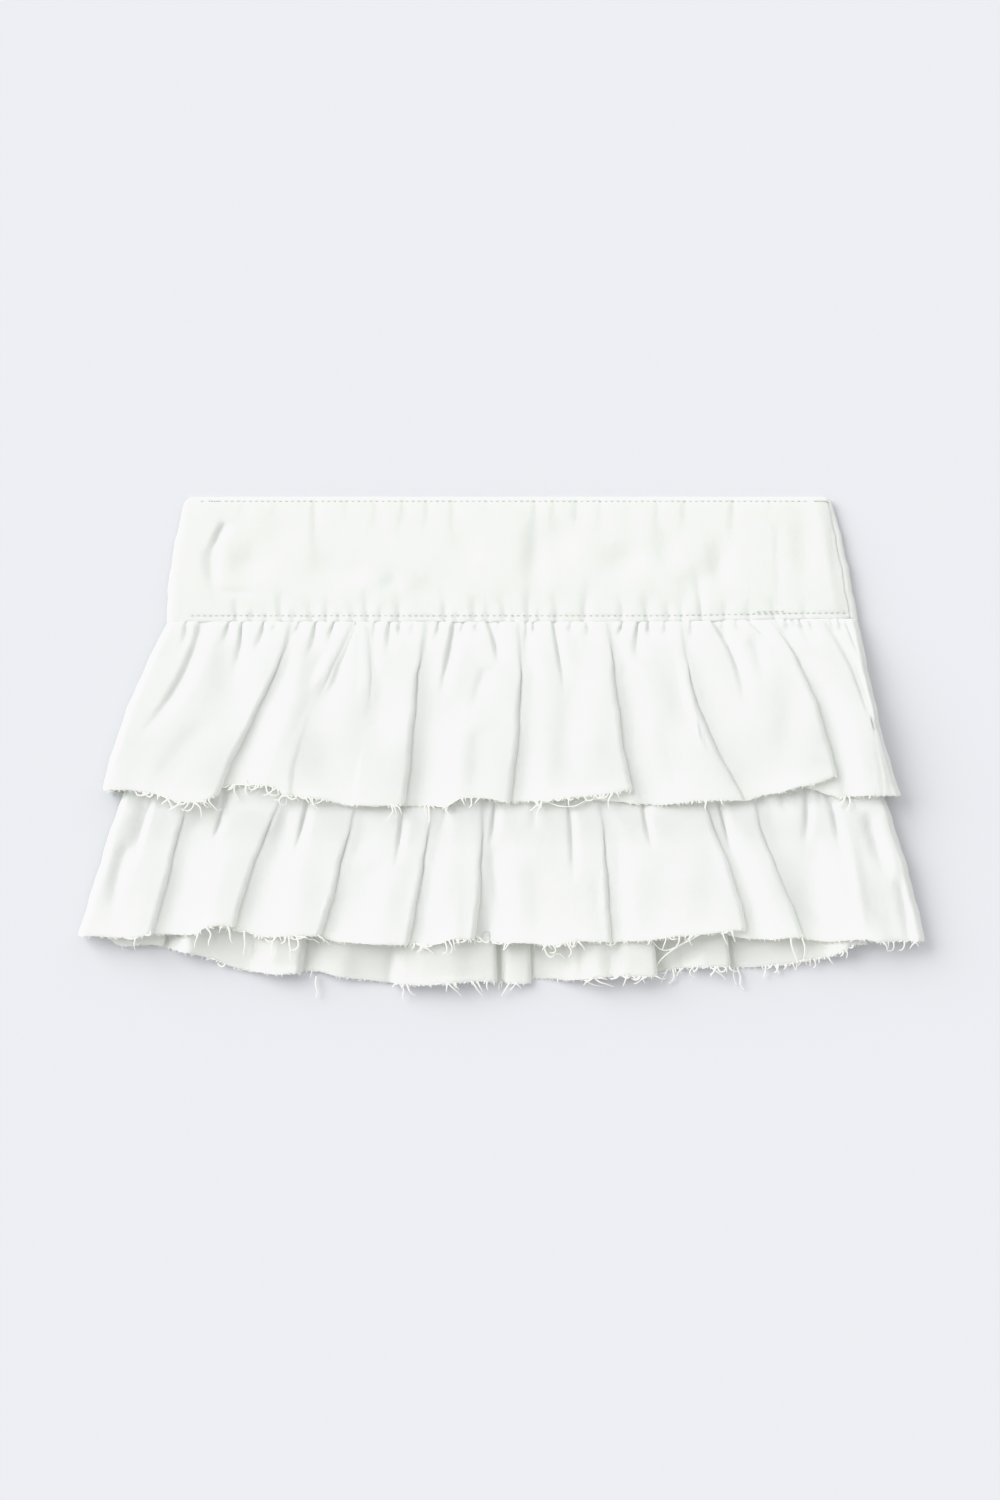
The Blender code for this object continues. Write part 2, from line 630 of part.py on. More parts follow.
def fray_solid(name, tier, stretches):
    """A narrow strip 0.3 mm past the raw hem, with loose threads drawn out of it."""
    chance = random.Random(name)
    line = section(tier, 1.0, panels_of(tier))
    line = [(*point, *turned) for point, turned in zip(line, normals(line))]
    places = root_places(line, stretches, chance)
    points, reaches = [], {}
    for step, (a, b) in enumerate(zip(line, line[1:])):
        points.append(a)
        for x, longest in places.get(step, ()):
            for edge in (x - THREAD_WIDTH / 2, x + THREAD_WIDTH / 2):
                share = (edge - a[0]) / (b[0] - a[0])
                points.append(tuple(mix(p, q, share) for p, q in zip(a, b)))
            reaches[len(points) - 2] = longest
    points.append(line[-1])
    mesh_builder = bmesh.new()
    rings = []
    for x, y, z, nx, nz in points:
        rings.append([
            mesh_builder.verts.new((x + nx * FRAY_WALL / 2, y - SEAM_GAP, z + nz * FRAY_WALL / 2)),
            mesh_builder.verts.new((x, y - SEAM_GAP - FRAY_DEPTH, z)),
            mesh_builder.verts.new((x - nx * FRAY_WALL / 2, y - SEAM_GAP, z - nz * FRAY_WALL / 2)),
        ])
    roots = []
    for index, (a, b) in enumerate(zip(rings, rings[1:])):
        for side in range(3):
            other = (side + 1) % 3
            face = mesh_builder.faces.new((a[side], a[other], b[other], b[side]))
            if side == 0 and index in reaches:
                roots.append((face, reaches[index]))
    mesh_builder.faces.new(rings[0])
    mesh_builder.faces.new(rings[-1])
    for face, longest in roots:
        grow_thread(mesh_builder, face, longest * chance.uniform(0.55, 1.0), chance)
    return finish(mesh_builder, name, tier.tint)


def grow_thread(mesh_builder, root, length, chance):
    """Draws a tapering thread out of a face of the strip, with one bend."""
    bend = chance.uniform(-0.7, 0.7)
    rise = chance.uniform(0.0, 0.05)
    for share, narrowing in ((0.5, 0.8), (0.5, 0.0)):
        root = bmesh.ops.extrude_discrete_faces(mesh_builder, faces=[root])["faces"][0]
        step = (bend * share * length * 0.5, -share * length, rise * length)
        bmesh.ops.translate(mesh_builder, vec=step, verts=root.verts)
        centre = root.calc_center_median()
        for vertex in root.verts:
            vertex.co = centre + (vertex.co - centre) * narrowing
        bend = -0.6 * bend
    bmesh.ops.pointmerge(mesh_builder, verts=list(root.verts), merge_co=root.calc_center_median())


# Yoke and base

YOKE_ROWS = (0.0, 0.12, 0.5, 0.85, 1.0)
YOKE_LEFT = Side(-183.9, -188.8, -192.3, -193.4)
YOKE_RIGHT = Side(191.7, 197.5, 202.1, 206.2)
YOKE_TURN_UNDER = 10.0  # how far the front runs under on the left
YOKE_LOW, YOKE_HIGH = 4.6, 6.8  # middle of the front's wall at the waist and at the seam
YOKE_STRIP = 0.7  # how far the back reaches past its turn to the side seam
YOKE_TURN_REST = 1.5  # between the turn round a side and the flat stretch beside it
YOKE_COLUMNS, BACK_COLUMNS = 18, 14
YOKE_SWELL, YOKE_RIPPLE, YOKE_RIPPLES = 0.55, 0.15, 9  # how far the front swells, and its low waves
CORNER = 5.0
TURN_STEPS = 4
BASE_LEFT, BASE_RIGHT = (-188.0, -211.0), (199.0, 213.0)  # at the yoke's seam and at the lower tier's
BASE_COLUMNS = 9
BASE_BACK = ((0.0, 3.7), (0.18, 5.1), (0.8, 5.2), (1.0, 5.6))  # share of the way down, and height
BASE_FRONT = ((0.0, 5.2), (0.18, 6.6), (0.8, 7.4), (1.0, 8.6))


def turn(edge, inward, floor, radius, turned):
    """A point of the half circle by which the yoke goes round its side."""
    return (edge + inward * radius * (1 - math.sin(turned)), floor + radius * (1 - math.cos(turned)))


def yoke_front_section(down):
    """The front: from under the left side, round its edge, and across to the side seam on the right."""
    left, right = along(YOKE_LEFT, down), along(YOKE_RIGHT, down)
    top, floor = mix(YOKE_LOW, YOKE_HIGH, smooth(1.2 * down)), YOKE_WALL / 2
    radius = (top - floor) / 2
    line = [(left + YOKE_TURN_UNDER, floor), (left + radius + YOKE_TURN_REST, floor)]
    for step in range(1, TURN_STEPS):
        line.append(turn(left, 1, floor, radius, math.pi * step / TURN_STEPS))
    start, end = left + radius + YOKE_TURN_REST, right - radius - YOKE_STRIP - SEAM_GAP
    for step in range(YOKE_COLUMNS + 1):
        share = step / YOKE_COLUMNS
        swell = YOKE_SWELL + YOKE_RIPPLE * math.sin(YOKE_RIPPLES * math.pi * share)
        line.append((mix(start, end, share), top + swell * math.sin(math.pi * share)))
    return line


def yoke_back_section(down):
    """The back: flat on the surface, then round the right side up to the side seam."""
    left, right = along(YOKE_LEFT, down), along(YOKE_RIGHT, down)
    top, floor = mix(YOKE_LOW, YOKE_HIGH, smooth(1.2 * down)), YOKE_WALL / 2
    radius = (top - floor) / 2
    start, end = left + YOKE_TURN_UNDER + SEAM_GAP, right - radius - YOKE_TURN_REST
    line = [(mix(start, end, step / BACK_COLUMNS), floor) for step in range(BACK_COLUMNS + 1)]
    for step in range(1, TURN_STEPS + 1):
        line.append(turn(right, -1, floor, radius, math.pi * step / TURN_STEPS))
    return [*line, (right - radius - YOKE_STRIP, top)]


def corner_drop(x):
    """How far the waist's edge falls at its rounded corners."""
    reach = min(x - YOKE_LEFT.seam, YOKE_RIGHT.seam - x)
    inside = max(0.0, CORNER - reach)
    return CORNER - math.sqrt(max(0.0, CORNER * CORNER - inside * inside))


def yoke_solid(name, read_section, tint):
    rows = []
    for down in YOKE_ROWS:
        rows.append([])
        for x, z in read_section(down):
            top = WAIST_Y - corner_drop(max(YOKE_LEFT.seam, min(YOKE_RIGHT.seam, x)))
            rows[-1].append((x, mix(top, YOKE_SEAM_Y + seam_rise(x), down), z))
    mesh_builder = bmesh.new()
    wall(mesh_builder, rows, YOKE_WALL / 2)
    return finish(mesh_builder, name, tint)


def base_solid(name, heights, tint):
    """A plain skirt panel, cut like an A, between the yoke's seam and the lower tier's seam."""
    rows = []
    for down, height in heights:
        left, right = mix(*BASE_LEFT, down), mix(*BASE_RIGHT, down)
        rows.append([])
        for step in range(BASE_COLUMNS + 1):
            x = mix(left, right, step / BASE_COLUMNS)
            y = mix(YOKE_SEAM_Y + seam_rise(x) - SEAM_GAP, TIER_SEAM_Y + seam_rise(x), down)
            rows[-1].append((x, y, height))
    mesh_builder = bmesh.new()
    wall(mesh_builder, rows, DENIM / 2)
    return finish(mesh_builder, name, tint)


def main():
    for old in list(bpy.data.objects):
        bpy.data.objects.remove(old, do_unlink=True)
    yoke_solid("yoke_front", yoke_front_section, (0.9, 0.92, 0.9))
    yoke_solid("yoke_back", yoke_back_section, (0.86, 0.88, 0.86))
    base_solid("base_back", BASE_BACK, (0.8, 0.82, 0.8))
    base_solid("base_front", BASE_FRONT, (0.82, 0.84, 0.82))
    for tier in (UPPER_FRONT, UPPER_BACK, LOWER_FRONT, LOWER_BACK):
        tier_solid(tier)
    for name, tier, stretches in FRAYS:
        fray_solid(name, tier, stretches)


main()
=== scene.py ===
"""The looks of a tiered mini skirt of white denim that lies flat with its front up.

The axes and the origin are the CAD's: +X across the skirt, +Y from hem to waist, +Z up from the surface
that it lies on. Sizes are in millimetres until a mesh is made. Each piece of cloth is a thin closed shell on
the form of the CAD solid that it stands for, with finer creases, gathers and sewing.
"""

import sys

import logging
import math
import random
from dataclasses import dataclass
from enum import Enum
from typing import Callable, Optional, Sequence

import bpy
import numpy as np
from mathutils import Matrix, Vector

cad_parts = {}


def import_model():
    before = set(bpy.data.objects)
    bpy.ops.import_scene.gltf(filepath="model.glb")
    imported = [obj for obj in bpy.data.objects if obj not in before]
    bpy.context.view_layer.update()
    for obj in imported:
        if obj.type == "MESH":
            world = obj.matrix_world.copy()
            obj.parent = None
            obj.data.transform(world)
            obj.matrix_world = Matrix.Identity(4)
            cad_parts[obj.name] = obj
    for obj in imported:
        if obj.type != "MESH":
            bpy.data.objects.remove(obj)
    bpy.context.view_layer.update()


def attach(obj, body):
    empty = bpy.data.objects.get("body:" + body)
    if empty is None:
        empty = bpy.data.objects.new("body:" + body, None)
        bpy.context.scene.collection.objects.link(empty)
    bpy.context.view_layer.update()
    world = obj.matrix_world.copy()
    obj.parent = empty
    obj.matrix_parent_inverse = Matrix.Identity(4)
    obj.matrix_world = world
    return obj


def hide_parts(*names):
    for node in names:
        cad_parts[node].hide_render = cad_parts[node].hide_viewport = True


MM = 0.001
SEAM_GAP = 0.06  # between the cloth on both sides of a seam
WAIST_Y = 142.7
YOKE_SEAM_Y = 70.2
TIER_SEAM_Y = -21.5
SEAM_RISE = 1.7  # the seams run up this much towards the right side
SEAM_RISE_FROM, SEAM_RISE_RUN = 80.0, 120.0  # x where that starts, and how far it goes on
THIRDS = (0, 1 / 3, 2 / 3, 1)  # the shares of the way down at which x of a line is given
TINY = 1e-9  # keeps a division clear of zero
BODY = "root"
RIM_ANGLE = math.radians(55)  # faces that meet more sharply than this keep an edge
RIPPLES = ((19.0, 0.3), (43.0, 0.16))  # how a ruffle's lines waver: radians from seam to hem, and how far

Array = np.ndarray
Point = tuple[float, float]
log = logging.getLogger("skirt")


class Slot(Enum):
    """The record's material slots."""

    DENIM = "white_denim"
    INSIDE_WITH_PAINTED_SHADE = "denim_inside"
    THREAD = "fray_thread"


class Held(Enum):
    """How a piece of cloth is held."""

    GATHERED = "gathered"
    LAID = "laid"


class Fall(Enum):
    """What a tier's panels do between two folds: stand clear of the fold's floor, or lie pressed on it."""

    LOFTED = "lofted"
    PRESSED = "pressed"


# Small mathematics


def smooth(share: Array) -> Array:
    """Eases a share from 0 to 1, level at both ends."""
    share = np.clip(share, 0.0, 1.0)
    return share * share * (3 - 2 * share)


def mix(low: Array, high: Array, share: Array) -> Array:
    """Goes from low to high by a share."""
    return low + (high - low) * share


def eased(places: Sequence[float], values: Sequence[float], at: Array) -> Array:
    """Reads a row of values at any place, eased from each value to the next.

    Args:
        places: where the values are, in rising order.
        values: the value at each of them.
        at: where to read.

    Returns:
        The values there; beyond the ends they stay as at the end.
    """
    spots, heights = np.asarray(places, float), np.asarray(values, float)
    index = np.clip(np.searchsorted(spots, at, side="right") - 1, 0, len(spots) - 2)
    span = np.maximum(spots[index + 1] - spots[index], TINY)
    return mix(heights[index], heights[index + 1], smooth((at - spots[index]) / span))


def flowing(places: Sequence[float], values: Sequence[float], at: Array) -> Array:
    """Reads a smooth curve through a row of values that never swings past them.

    Args:
        places: where the values are, in rising order.
        values: the value at each of them.
        at: where to read, between the first place and the last.

    Returns:
        The values there.
    """
    spots, heights = np.asarray(places, float), np.asarray(values, float)
    pitch = np.diff(heights) / np.diff(spots)
    before, after = pitch[:-1], pitch[1:]
    turns = before * after <= 0
    total = np.where(turns, 1.0, before + after)
    slope = np.concatenate([pitch[:1], np.where(turns, 0.0, 2 * before * after / total), pitch[-1:]])
    index = np.clip(np.searchsorted(spots, at, side="right") - 1, 0, len(spots) - 2)
    span = spots[index + 1] - spots[index]
    t = np.clip((at - spots[index]) / span, 0, 1)
    bent = span * (t * (1 - t) ** 2 * slope[index] - t**2 * (1 - t) * slope[index + 1])
    return mix(heights[index], heights[index + 1], smooth(t)) + bent


def through(places: Sequence[float], values: Sequence[float], at: Array) -> Array:
    """Reads the polynomial that goes through all the given points.

    Args:
        places: where it is known.
        values: what it is there.
        at: where to read.

    Returns:
        Its values there.
    """
    total = np.zeros_like(np.asarray(at, float))
    for i, value in enumerate(values):
        weight = np.ones_like(total)
        for j, place in enumerate(places):
            if j != i:
                weight = weight * (at - place) / (places[i] - place)
        total = total + value * weight
    return total


def seam_rise(x: Array) -> Array:
    """How far the seams run up at x."""
    return SEAM_RISE * smooth((x - SEAM_RISE_FROM) / SEAM_RISE_RUN)


def spline_weights(count: int, samples: int) -> Array:
    """Weights that turn control points into points of a clamped uniform cubic B-spline.

    Args:
        count: how many control points there are.
        samples: how many points to give for each step between two of them.

    Returns:
        A matrix with a row for each point of the curve and a column for each control point.
    """
    places = np.linspace(0, count - 1, (count - 1) * samples + 1)
    weights = np.zeros((len(places), count))
    start = np.minimum(places.astype(int), count - 2)
    t = places - start
    basis = (
        (1 - t) ** 3 / 6,
        (3 * t**3 - 6 * t**2 + 4) / 6,
        (-3 * t**3 + 3 * t**2 + 3 * t + 1) / 6,
        t**3 / 6,
    )
    for step, part in enumerate(basis):
        np.add.at(weights, (np.arange(len(places)), np.clip(start + step - 1, 0, count - 1)), part)
    weights[0], weights[-1] = 0, 0
    weights[0, 0], weights[-1, -1] = 1, 1
    return weights


def table(kind: type, *rows: tuple) -> tuple:
    """Makes one thing of a kind from each row, whose columns are that kind's fields in order."""
    return tuple(kind(*row) for row in rows)


# Finishes


@dataclass(frozen=True)
class DenimFinish:
    """Bleached cotton twill.

    Attributes:
        name: the material's name.
        tint: its colour.
        shade: the colour of its thinner, slightly duller patches.
        twill: the distance between two diagonal ribs, in mm.
        relief: how deep the weave is, in mm.
        relief_share: how much of that shows.
        roughness: how matt it is.
        specular: how much it mirrors.
        glow: how much of the light goes a little way through the cotton.
        glow_reach: how far that goes, in mm.
        glow_tint: how far its red, green and blue go beside each other.
        sheen: how much its fuzz shines.
        sheen_roughness: how widely that spreads.
        patches: how many patches there are in a metre, and how many finer layers they have.
        yarns: the same for uneven yarns.
        yarn_tone: how much the yarns count in the colour.
        yarn_relief: how much they count in the relief.
        tones: the mix of both at which the shade ends, and at which the tint is full.
        waver: how much the ribs waver.
        steep: faces whose normal points further than this to the lit side, where x is negative, are steep.
        held: how much of the light that meets those faces second-hand is held back.
    """

    name: str
    tint: tuple[float, float, float]
    shade: tuple[float, float, float]
    twill: float = 0.85
    relief: float = 0.07
    relief_share: float = 0.35
    roughness: float = 0.86
    specular: float = 0.25
    glow: float = 0.8
    glow_reach: float = 2.6
    glow_tint: tuple[float, float, float] = (1.0, 0.97, 0.9)
    sheen: float = 0.12
    sheen_roughness: float = 0.6
    patches: Point = (22.0, 3.0)
    yarns: Point = (700.0, 2.0)
    yarn_tone: float = 0.35
    yarn_relief: float = 0.8
    tones: Point = (0.35, 0.85)
    waver: float = 1.2
    steep: float = -0.35
    held: float = 0.45

    def material(self) -> bpy.types.Material:
        """Builds the material: a mottled colour, and twill ribs and slubs as bump."""
        nodes = NodeTree(self.name)
        nodes.dress(
            {
                "Roughness": self.roughness,
                "Specular IOR Level": self.specular,
                "Subsurface Weight": self.glow,
                "Subsurface Radius": self.glow_tint,
                "Subsurface Scale": self.glow_reach * MM,
                "Sheen Weight": self.sheen,
                "Sheen Roughness": self.sheen_roughness,
            }
        )
        place = nodes.add("ShaderNodeTexCoord")
        patches = nodes.noise(place.outputs["Object"], *self.patches)
        yarns = nodes.noise(place.outputs["UV"], *self.yarns)
        blend = nodes.value("MULTIPLY_ADD", yarns, self.yarn_tone, patches)
        colour = nodes.ramp(blend, ((self.tones[0], self.shade), (self.tones[1], self.tint)))
        nodes.link(self.held_back(nodes, colour), nodes.shader.inputs["Base Color"])
        ribs = nodes.add("ShaderNodeTexWave", bands_direction="DIAGONAL", wave_profile="SIN")
        ribs.inputs["Scale"].default_value = 2 * math.pi / (10 * math.sqrt(2) * self.twill * MM)
        ribs.inputs["Distortion"].default_value = self.waver
        ribs.inputs["Detail"].default_value = 1.0
        nodes.link(place.outputs["UV"], ribs.inputs["Vector"])
        weave = nodes.value("MULTIPLY_ADD", yarns, self.yarn_relief, ribs.outputs["Fac"])
        nodes.bump(weave, self.relief_share, self.relief * MM)
        return nodes.material

    def held_back(self, nodes: "NodeTree", colour: bpy.types.NodeSocket) -> bpy.types.NodeSocket:
        """Holds back the light that steep faces on the lit side throw onto the floor and onto other cloth.

        Args:
            nodes: the material's nodes.
            colour: the cloth's colour.

        Returns:
            The colour, darker there for light that has already met a surface, and unchanged to the camera.
        """
        facing = nodes.add("ShaderNodeSeparateXYZ")
        nodes.link(nodes.add("ShaderNodeNewGeometry").outputs["Normal"], facing.inputs[0])
        steep = nodes.value("LESS_THAN", facing.outputs["X"], self.steep)
        second_hand = nodes.add("ShaderNodeLightPath").outputs["Is Diffuse Ray"]
        share = nodes.value("MULTIPLY", second_hand, steep)
        level = nodes.value("MULTIPLY_ADD", share, -self.held, 1.0)
        scaled = nodes.add("ShaderNodeVectorMath", operation="SCALE")
        nodes.link(colour, scaled.inputs[0])
        nodes.link(level, scaled.inputs["Scale"])
        return scaled.outputs["Vector"]


@dataclass(frozen=True)
class ThreadFinish:
    """Loose cotton thread, a little creamier than the cloth.

    Attributes:
        name: the material's name.
        tint: its lighter colour.
        shade: its darker colour.
        roughness: how matt it is.
        specular: how much it mirrors.
        sheen: how much its fuzz shines.
        changes: how often in a metre its colour changes, and how many finer layers that has.
        tones: the values at which the shade ends, and at which the tint is full.
        fibres: how many fibres there are in a metre, and how many finer layers they have.
        relief: how deep they are, in mm.
        relief_share: how much of that shows.
    """

    name: str
    tint: tuple[float, float, float]
    shade: tuple[float, float, float]
    roughness: float = 0.8
    specular: float = 0.3
    sheen: float = 0.2
    changes: Point = (160.0, 2.0)
    tones: Point = (0.35, 0.65)
    fibres: Point = (3500.0, 2.0)
    relief: float = 0.05
    relief_share: float = 0.4

    def material(self) -> bpy.types.Material:
        """Builds the material: two colours that change along the thread, and the fibres as bump."""
        nodes = NodeTree(self.name)
        nodes.dress({"Roughness": self.roughness, "Specular IOR Level": self.specular})
        nodes.dress({"Sheen Weight": self.sheen})
        place = nodes.add("ShaderNodeTexCoord")
        change = nodes.noise(place.outputs["Object"], *self.changes)
        colour = nodes.ramp(change, ((self.tones[0], self.shade), (self.tones[1], self.tint)))
        nodes.link(colour, nodes.shader.inputs["Base Color"])
        fibres = nodes.noise(place.outputs["Object"], *self.fibres)
        nodes.bump(fibres, self.relief_share, self.relief * MM)
        return nodes.material


@dataclass(frozen=True)
class FloorFinish:
    """A plain pale backdrop with the faintest tone.

    Attributes:
        name: the material's name.
        tint: its colour.
        duller: the share of that colour in its duller patches.
        roughness: how matt it is.
        specular: how much it mirrors.
        patches: how many patches there are in a metre, and how many finer layers they have.
        tones: the values at which the duller colour ends, and at which the tint is full.
    """

    name: str
    tint: tuple[float, float, float]
    duller: float = 0.995
    roughness: float = 0.95
    specular: float = 0.1
    patches: Point = (3.0, 2.0)
    tones: Point = (0.3, 0.7)

    def material(self) -> bpy.types.Material:
        """Builds the material."""
        nodes = NodeTree(self.name)
        nodes.dress({"Roughness": self.roughness, "Specular IOR Level": self.specular})
        place = nodes.add("ShaderNodeTexCoord")
        duller = tuple(self.duller * part for part in self.tint)
        patches = nodes.noise(place.outputs["Object"], *self.patches)
        tone = nodes.ramp(patches, ((self.tones[0], duller), (self.tones[1], self.tint)))
        nodes.link(tone, nodes.shader.inputs["Base Color"])
        return nodes.material


class NodeTree:
    """A new material with one principled shader, and short ways to add nodes to it."""

    def __init__(self, name: str) -> None:
        """Makes the material.

        Args:
            name: the material's name.
        """
        self.material = bpy.data.materials.new(name)
        self.material.use_nodes = True
        self.tree = self.material.node_tree
        self.shader = self.tree.nodes["Principled BSDF"]

    def dress(self, values: dict[str, object]) -> None:
        """Sets the shader's inputs by their names."""
        for name, value in values.items():
            self.shader.inputs[name].default_value = value

    def value(self, operation: str, *terms: bpy.types.NodeSocket | float) -> bpy.types.NodeSocket:
        """Adds a sum.

        Args:
            operation: Blender's name for it.
            terms: what it works on: outputs of other nodes, or plain numbers.

        Returns:
            Its result.
        """
        node = self.add("ShaderNodeMath", operation=operation)
        for entry, term in zip(node.inputs, terms):
            if isinstance(term, bpy.types.NodeSocket):
                self.link(term, entry)
            else:
                entry.default_value = term
        return node.outputs[0]

    def add(self, kind: str, **settings: str) -> bpy.types.Node:
        """Adds a node.

        Args:
            kind: Blender's name for it.
            settings: its properties.

        Returns:
            The node.
        """
        node = self.tree.nodes.new(kind)
        for key, value in settings.items():
            setattr(node, key, value)
        return node

    def link(self, source: bpy.types.NodeSocket, target: bpy.types.NodeSocket) -> None:
        """Links an output to an input."""
        self.tree.links.new(source, target)

    def noise(self, place: bpy.types.NodeSocket, scale: float, detail: float) -> bpy.types.NodeSocket:
        """Adds a noise texture.

        Args:
            place: the coordinates that it reads.
            scale: how many features there are in a metre.
            detail: how many finer layers it has.

        Returns:
            Its value.
        """
        node = self.add("ShaderNodeTexNoise")
        node.inputs["Scale"].default_value = scale
        node.inputs["Detail"].default_value = detail
        self.link(place, node.inputs["Vector"])
        return node.outputs["Fac"]

    def ramp(self, value: bpy.types.NodeSocket, stops: Sequence[tuple]) -> bpy.types.NodeSocket:
        """Adds a colour ramp.

        Args:
            value: what it reads.
            stops: a place and a colour for each of its two ends.

        Returns:
            Its colour.
        """
        node = self.add("ShaderNodeValToRGB")
        for element, (place, colour) in zip(node.color_ramp.elements, stops):
            element.position = place
            element.color = (*colour, 1.0)
        self.link(value, node.inputs["Fac"])
        return node.outputs["Color"]

    def bump(self, height: bpy.types.NodeSocket, strength: float, distance: float) -> None:
        """Puts a bump on the shader.

        Args:
            height: the relief.
            strength: how much of it counts.
            distance: how high it is, in metres.
        """
        node = self.add("ShaderNodeBump")
        node.inputs["Strength"].default_value = strength
        node.inputs["Distance"].default_value = distance
        self.link(height, node.inputs["Height"])
        self.link(node.outputs["Normal"], self.shader.inputs["Normal"])


DENIM = DenimFinish("bleached denim", (0.876, 0.911, 0.856), (0.856, 0.891, 0.836))
# Painted light: the lower tier takes a brighter copy of the same denim, which shows it as if more light fell
# on it.
LOWER_DENIM_PAINTED_LIGHT = DenimFinish("bleached denim below painted lighter", (0.897, 0.931, 0.876), (0.877, 0.911, 0.856))
# Painted shade: the yoke takes a darker copy of the same denim, which shows it as if less light fell on it.
YOKE_DENIM_PAINTED_SHADE = DenimFinish("yoke denim painted darker", (0.820, 0.848, 0.808), (0.800, 0.828, 0.788))
# The cloth's inside: its colour is darker and warmer than the outside's, mostly painted shade for the back
# strip's shaded pockets, partly the inside's own creamier tone.
INSIDE_WITH_PAINTED_SHADE = DenimFinish("denim inside with painted shade", (0.838, 0.854, 0.805), (0.818, 0.832, 0.78), relief=0.09)
THREAD = ThreadFinish("cotton thread", (0.97, 0.965, 0.93), (0.95, 0.94, 0.895))
# Painted shade: the topstitch thread is white, painted grey for the shade in and around its stitches, and
# darker grey at the tacks.
STITCH_PAINTED_SHADE = ThreadFinish("topstitch thread painted grey", (0.60, 0.61, 0.585), (0.52, 0.53, 0.505))
TACK_PAINTED_SHADE = ThreadFinish("tacking thread painted darker grey", (0.42, 0.43, 0.42), (0.34, 0.35, 0.34))
FLOOR = FloorFinish("pale backdrop", (0.734, 0.745, 0.784))


# Creases

GATHER_WIDTH = (1.1, 3.6)  # half width of a gather at the seam, and where it has faded
GATHER_WIDENS = 1.2  # how much sooner than that it is at its widest
GATHER_SIDES = (0.75, 1.5)  # how wide its left and its right side are beside that
GATHER_KEEPS = 0.2  # the share of its reach over which it keeps its depth
GATHER_SWING = 5.5  # how many radians it swings through on its way
CREASE_DEEPENS = 0.5  # the share of its first stretch over which a crease deepens


@dataclass(frozen=True)
class Gather:
    """A short crease that starts at a ruffle's seam.

    Attributes:
        seam: its x there.
        reach: the share of the way down at which it is gone.
        depth: how deep it is.
        drift: how far it wanders to the right on its way.
        width: how much wider than usual it is.
        wiggle: how far it swings to both sides on its way.
    """

    seam: float
    reach: float = 0.15
    depth: float = 1.5
    drift: float = 0.0
    width: float = 1.0
    wiggle: float = 1.1

    def dip(self, x: Array, down: Array, fan: float) -> Array:
        """How far it lowers the cloth.

        Args:
            x: where across the skirt.
            down: the share of the way down the ruffle.
            fan: how much wider the ruffle is at its hem than at its seam.

        Returns:
            The depth at each place.
        """
        gone = np.clip(down / self.reach, 0, 1)
        swing = self.wiggle * gone * np.sin(GATHER_SWING * gone + self.seam)
        centre = self.seam * (1 + fan * down) + self.drift * gone + swing
        width = self.width * mix(*GATHER_WIDTH, smooth(GATHER_WIDENS * gone))
        offset = x - centre
        width = np.where(offset < 0, *GATHER_SIDES) * width
        left = 1 - smooth((gone - GATHER_KEEPS) / (1 - GATHER_KEEPS))
        return self.depth * left * np.exp(-((offset / width) ** 2))


@dataclass(frozen=True)
class Crease:
    """A trough through three places, steep on one side and soft on the other.

    It is a ridge if its depth is negative.

    Attributes:
        start: how far down it starts, and its x there.
        middle: the same where it begins to fade.
        end: the same where it is gone.
        depth: how deep it is.
        left: the width of its left side.
        right: the width of its right side.
    """

    start: Point
    middle: Point
    end: Point
    depth: float
    left: float = 1.2
    right: float = 4.5

    def dip(self, x: Array, down: Array) -> Array:
        """How far it lowers the cloth at x, that share of the way down."""
        places = (self.start[0], self.middle[0], self.end[0])
        centre = through(places, (self.start[1], self.middle[1], self.end[1]), down)
        offset = x - centre
        profile = np.exp(-((offset / np.where(offset < 0, self.left, self.right)) ** 2))
        deepens = CREASE_DEEPENS * (places[1] - places[0])
        begun = 1.0 if places[0] <= 0 else smooth((down - places[0]) / deepens)
        left = 1 - smooth((down - places[1]) / (places[2] - places[1]))
        return self.depth * profile * begun * left


@dataclass(frozen=True)
class Dent:
    """A soft hollow, or a swelling if its depth is below 0.

    Attributes:
        x: its middle across the skirt.
        place: its middle the other way, in the surface's own measure.
        depth: how deep it is.
        across: its half width.
        along: its half length, in the surface's own measure.
    """

    x: float
    place: float
    depth: float
    across: float
    along: float

    def dip(self, x: Array, place: Array) -> Array:
        """How far it lowers the cloth there."""
        across, along = (x - self.x) / self.across, (place - self.place) / self.along
        return self.depth * np.exp(-(across**2) - along**2)


@dataclass(frozen=True)
class Unevenness:
    """Long low waves that no hand can press out of cloth.

    Attributes:
        seed: makes them different from those of another piece.
        height: how high they are.
        across: their length across the skirt.
        along: their length from hem to waist.
        waves: how many lie over each other.
        lengths: how much shorter and longer than across they may be.
        reaches: the same for along.
    """

    seed: int
    height: float = 0.3
    across: float = 34.0
    along: float = 90.0
    waves: int = 7
    lengths: Point = (0.6, 1.6)
    reaches: Point = (0.7, 2.0)

    def rise(self, x: Array, y: Array) -> Array:
        """How far the cloth stands above its plain form there."""
        chance = random.Random(self.seed)
        total = np.zeros_like(x)
        for _ in range(self.waves):
            length = self.across * chance.uniform(*self.lengths)
            reach = self.along * chance.uniform(*self.reaches) * chance.choice((-1, 1))
            phase = chance.uniform(0, 2 * math.pi)
            total = total + np.cos(2 * math.pi * (x / length + y / reach) + phase)
        return self.height * total / math.sqrt(self.waves)


# Shells


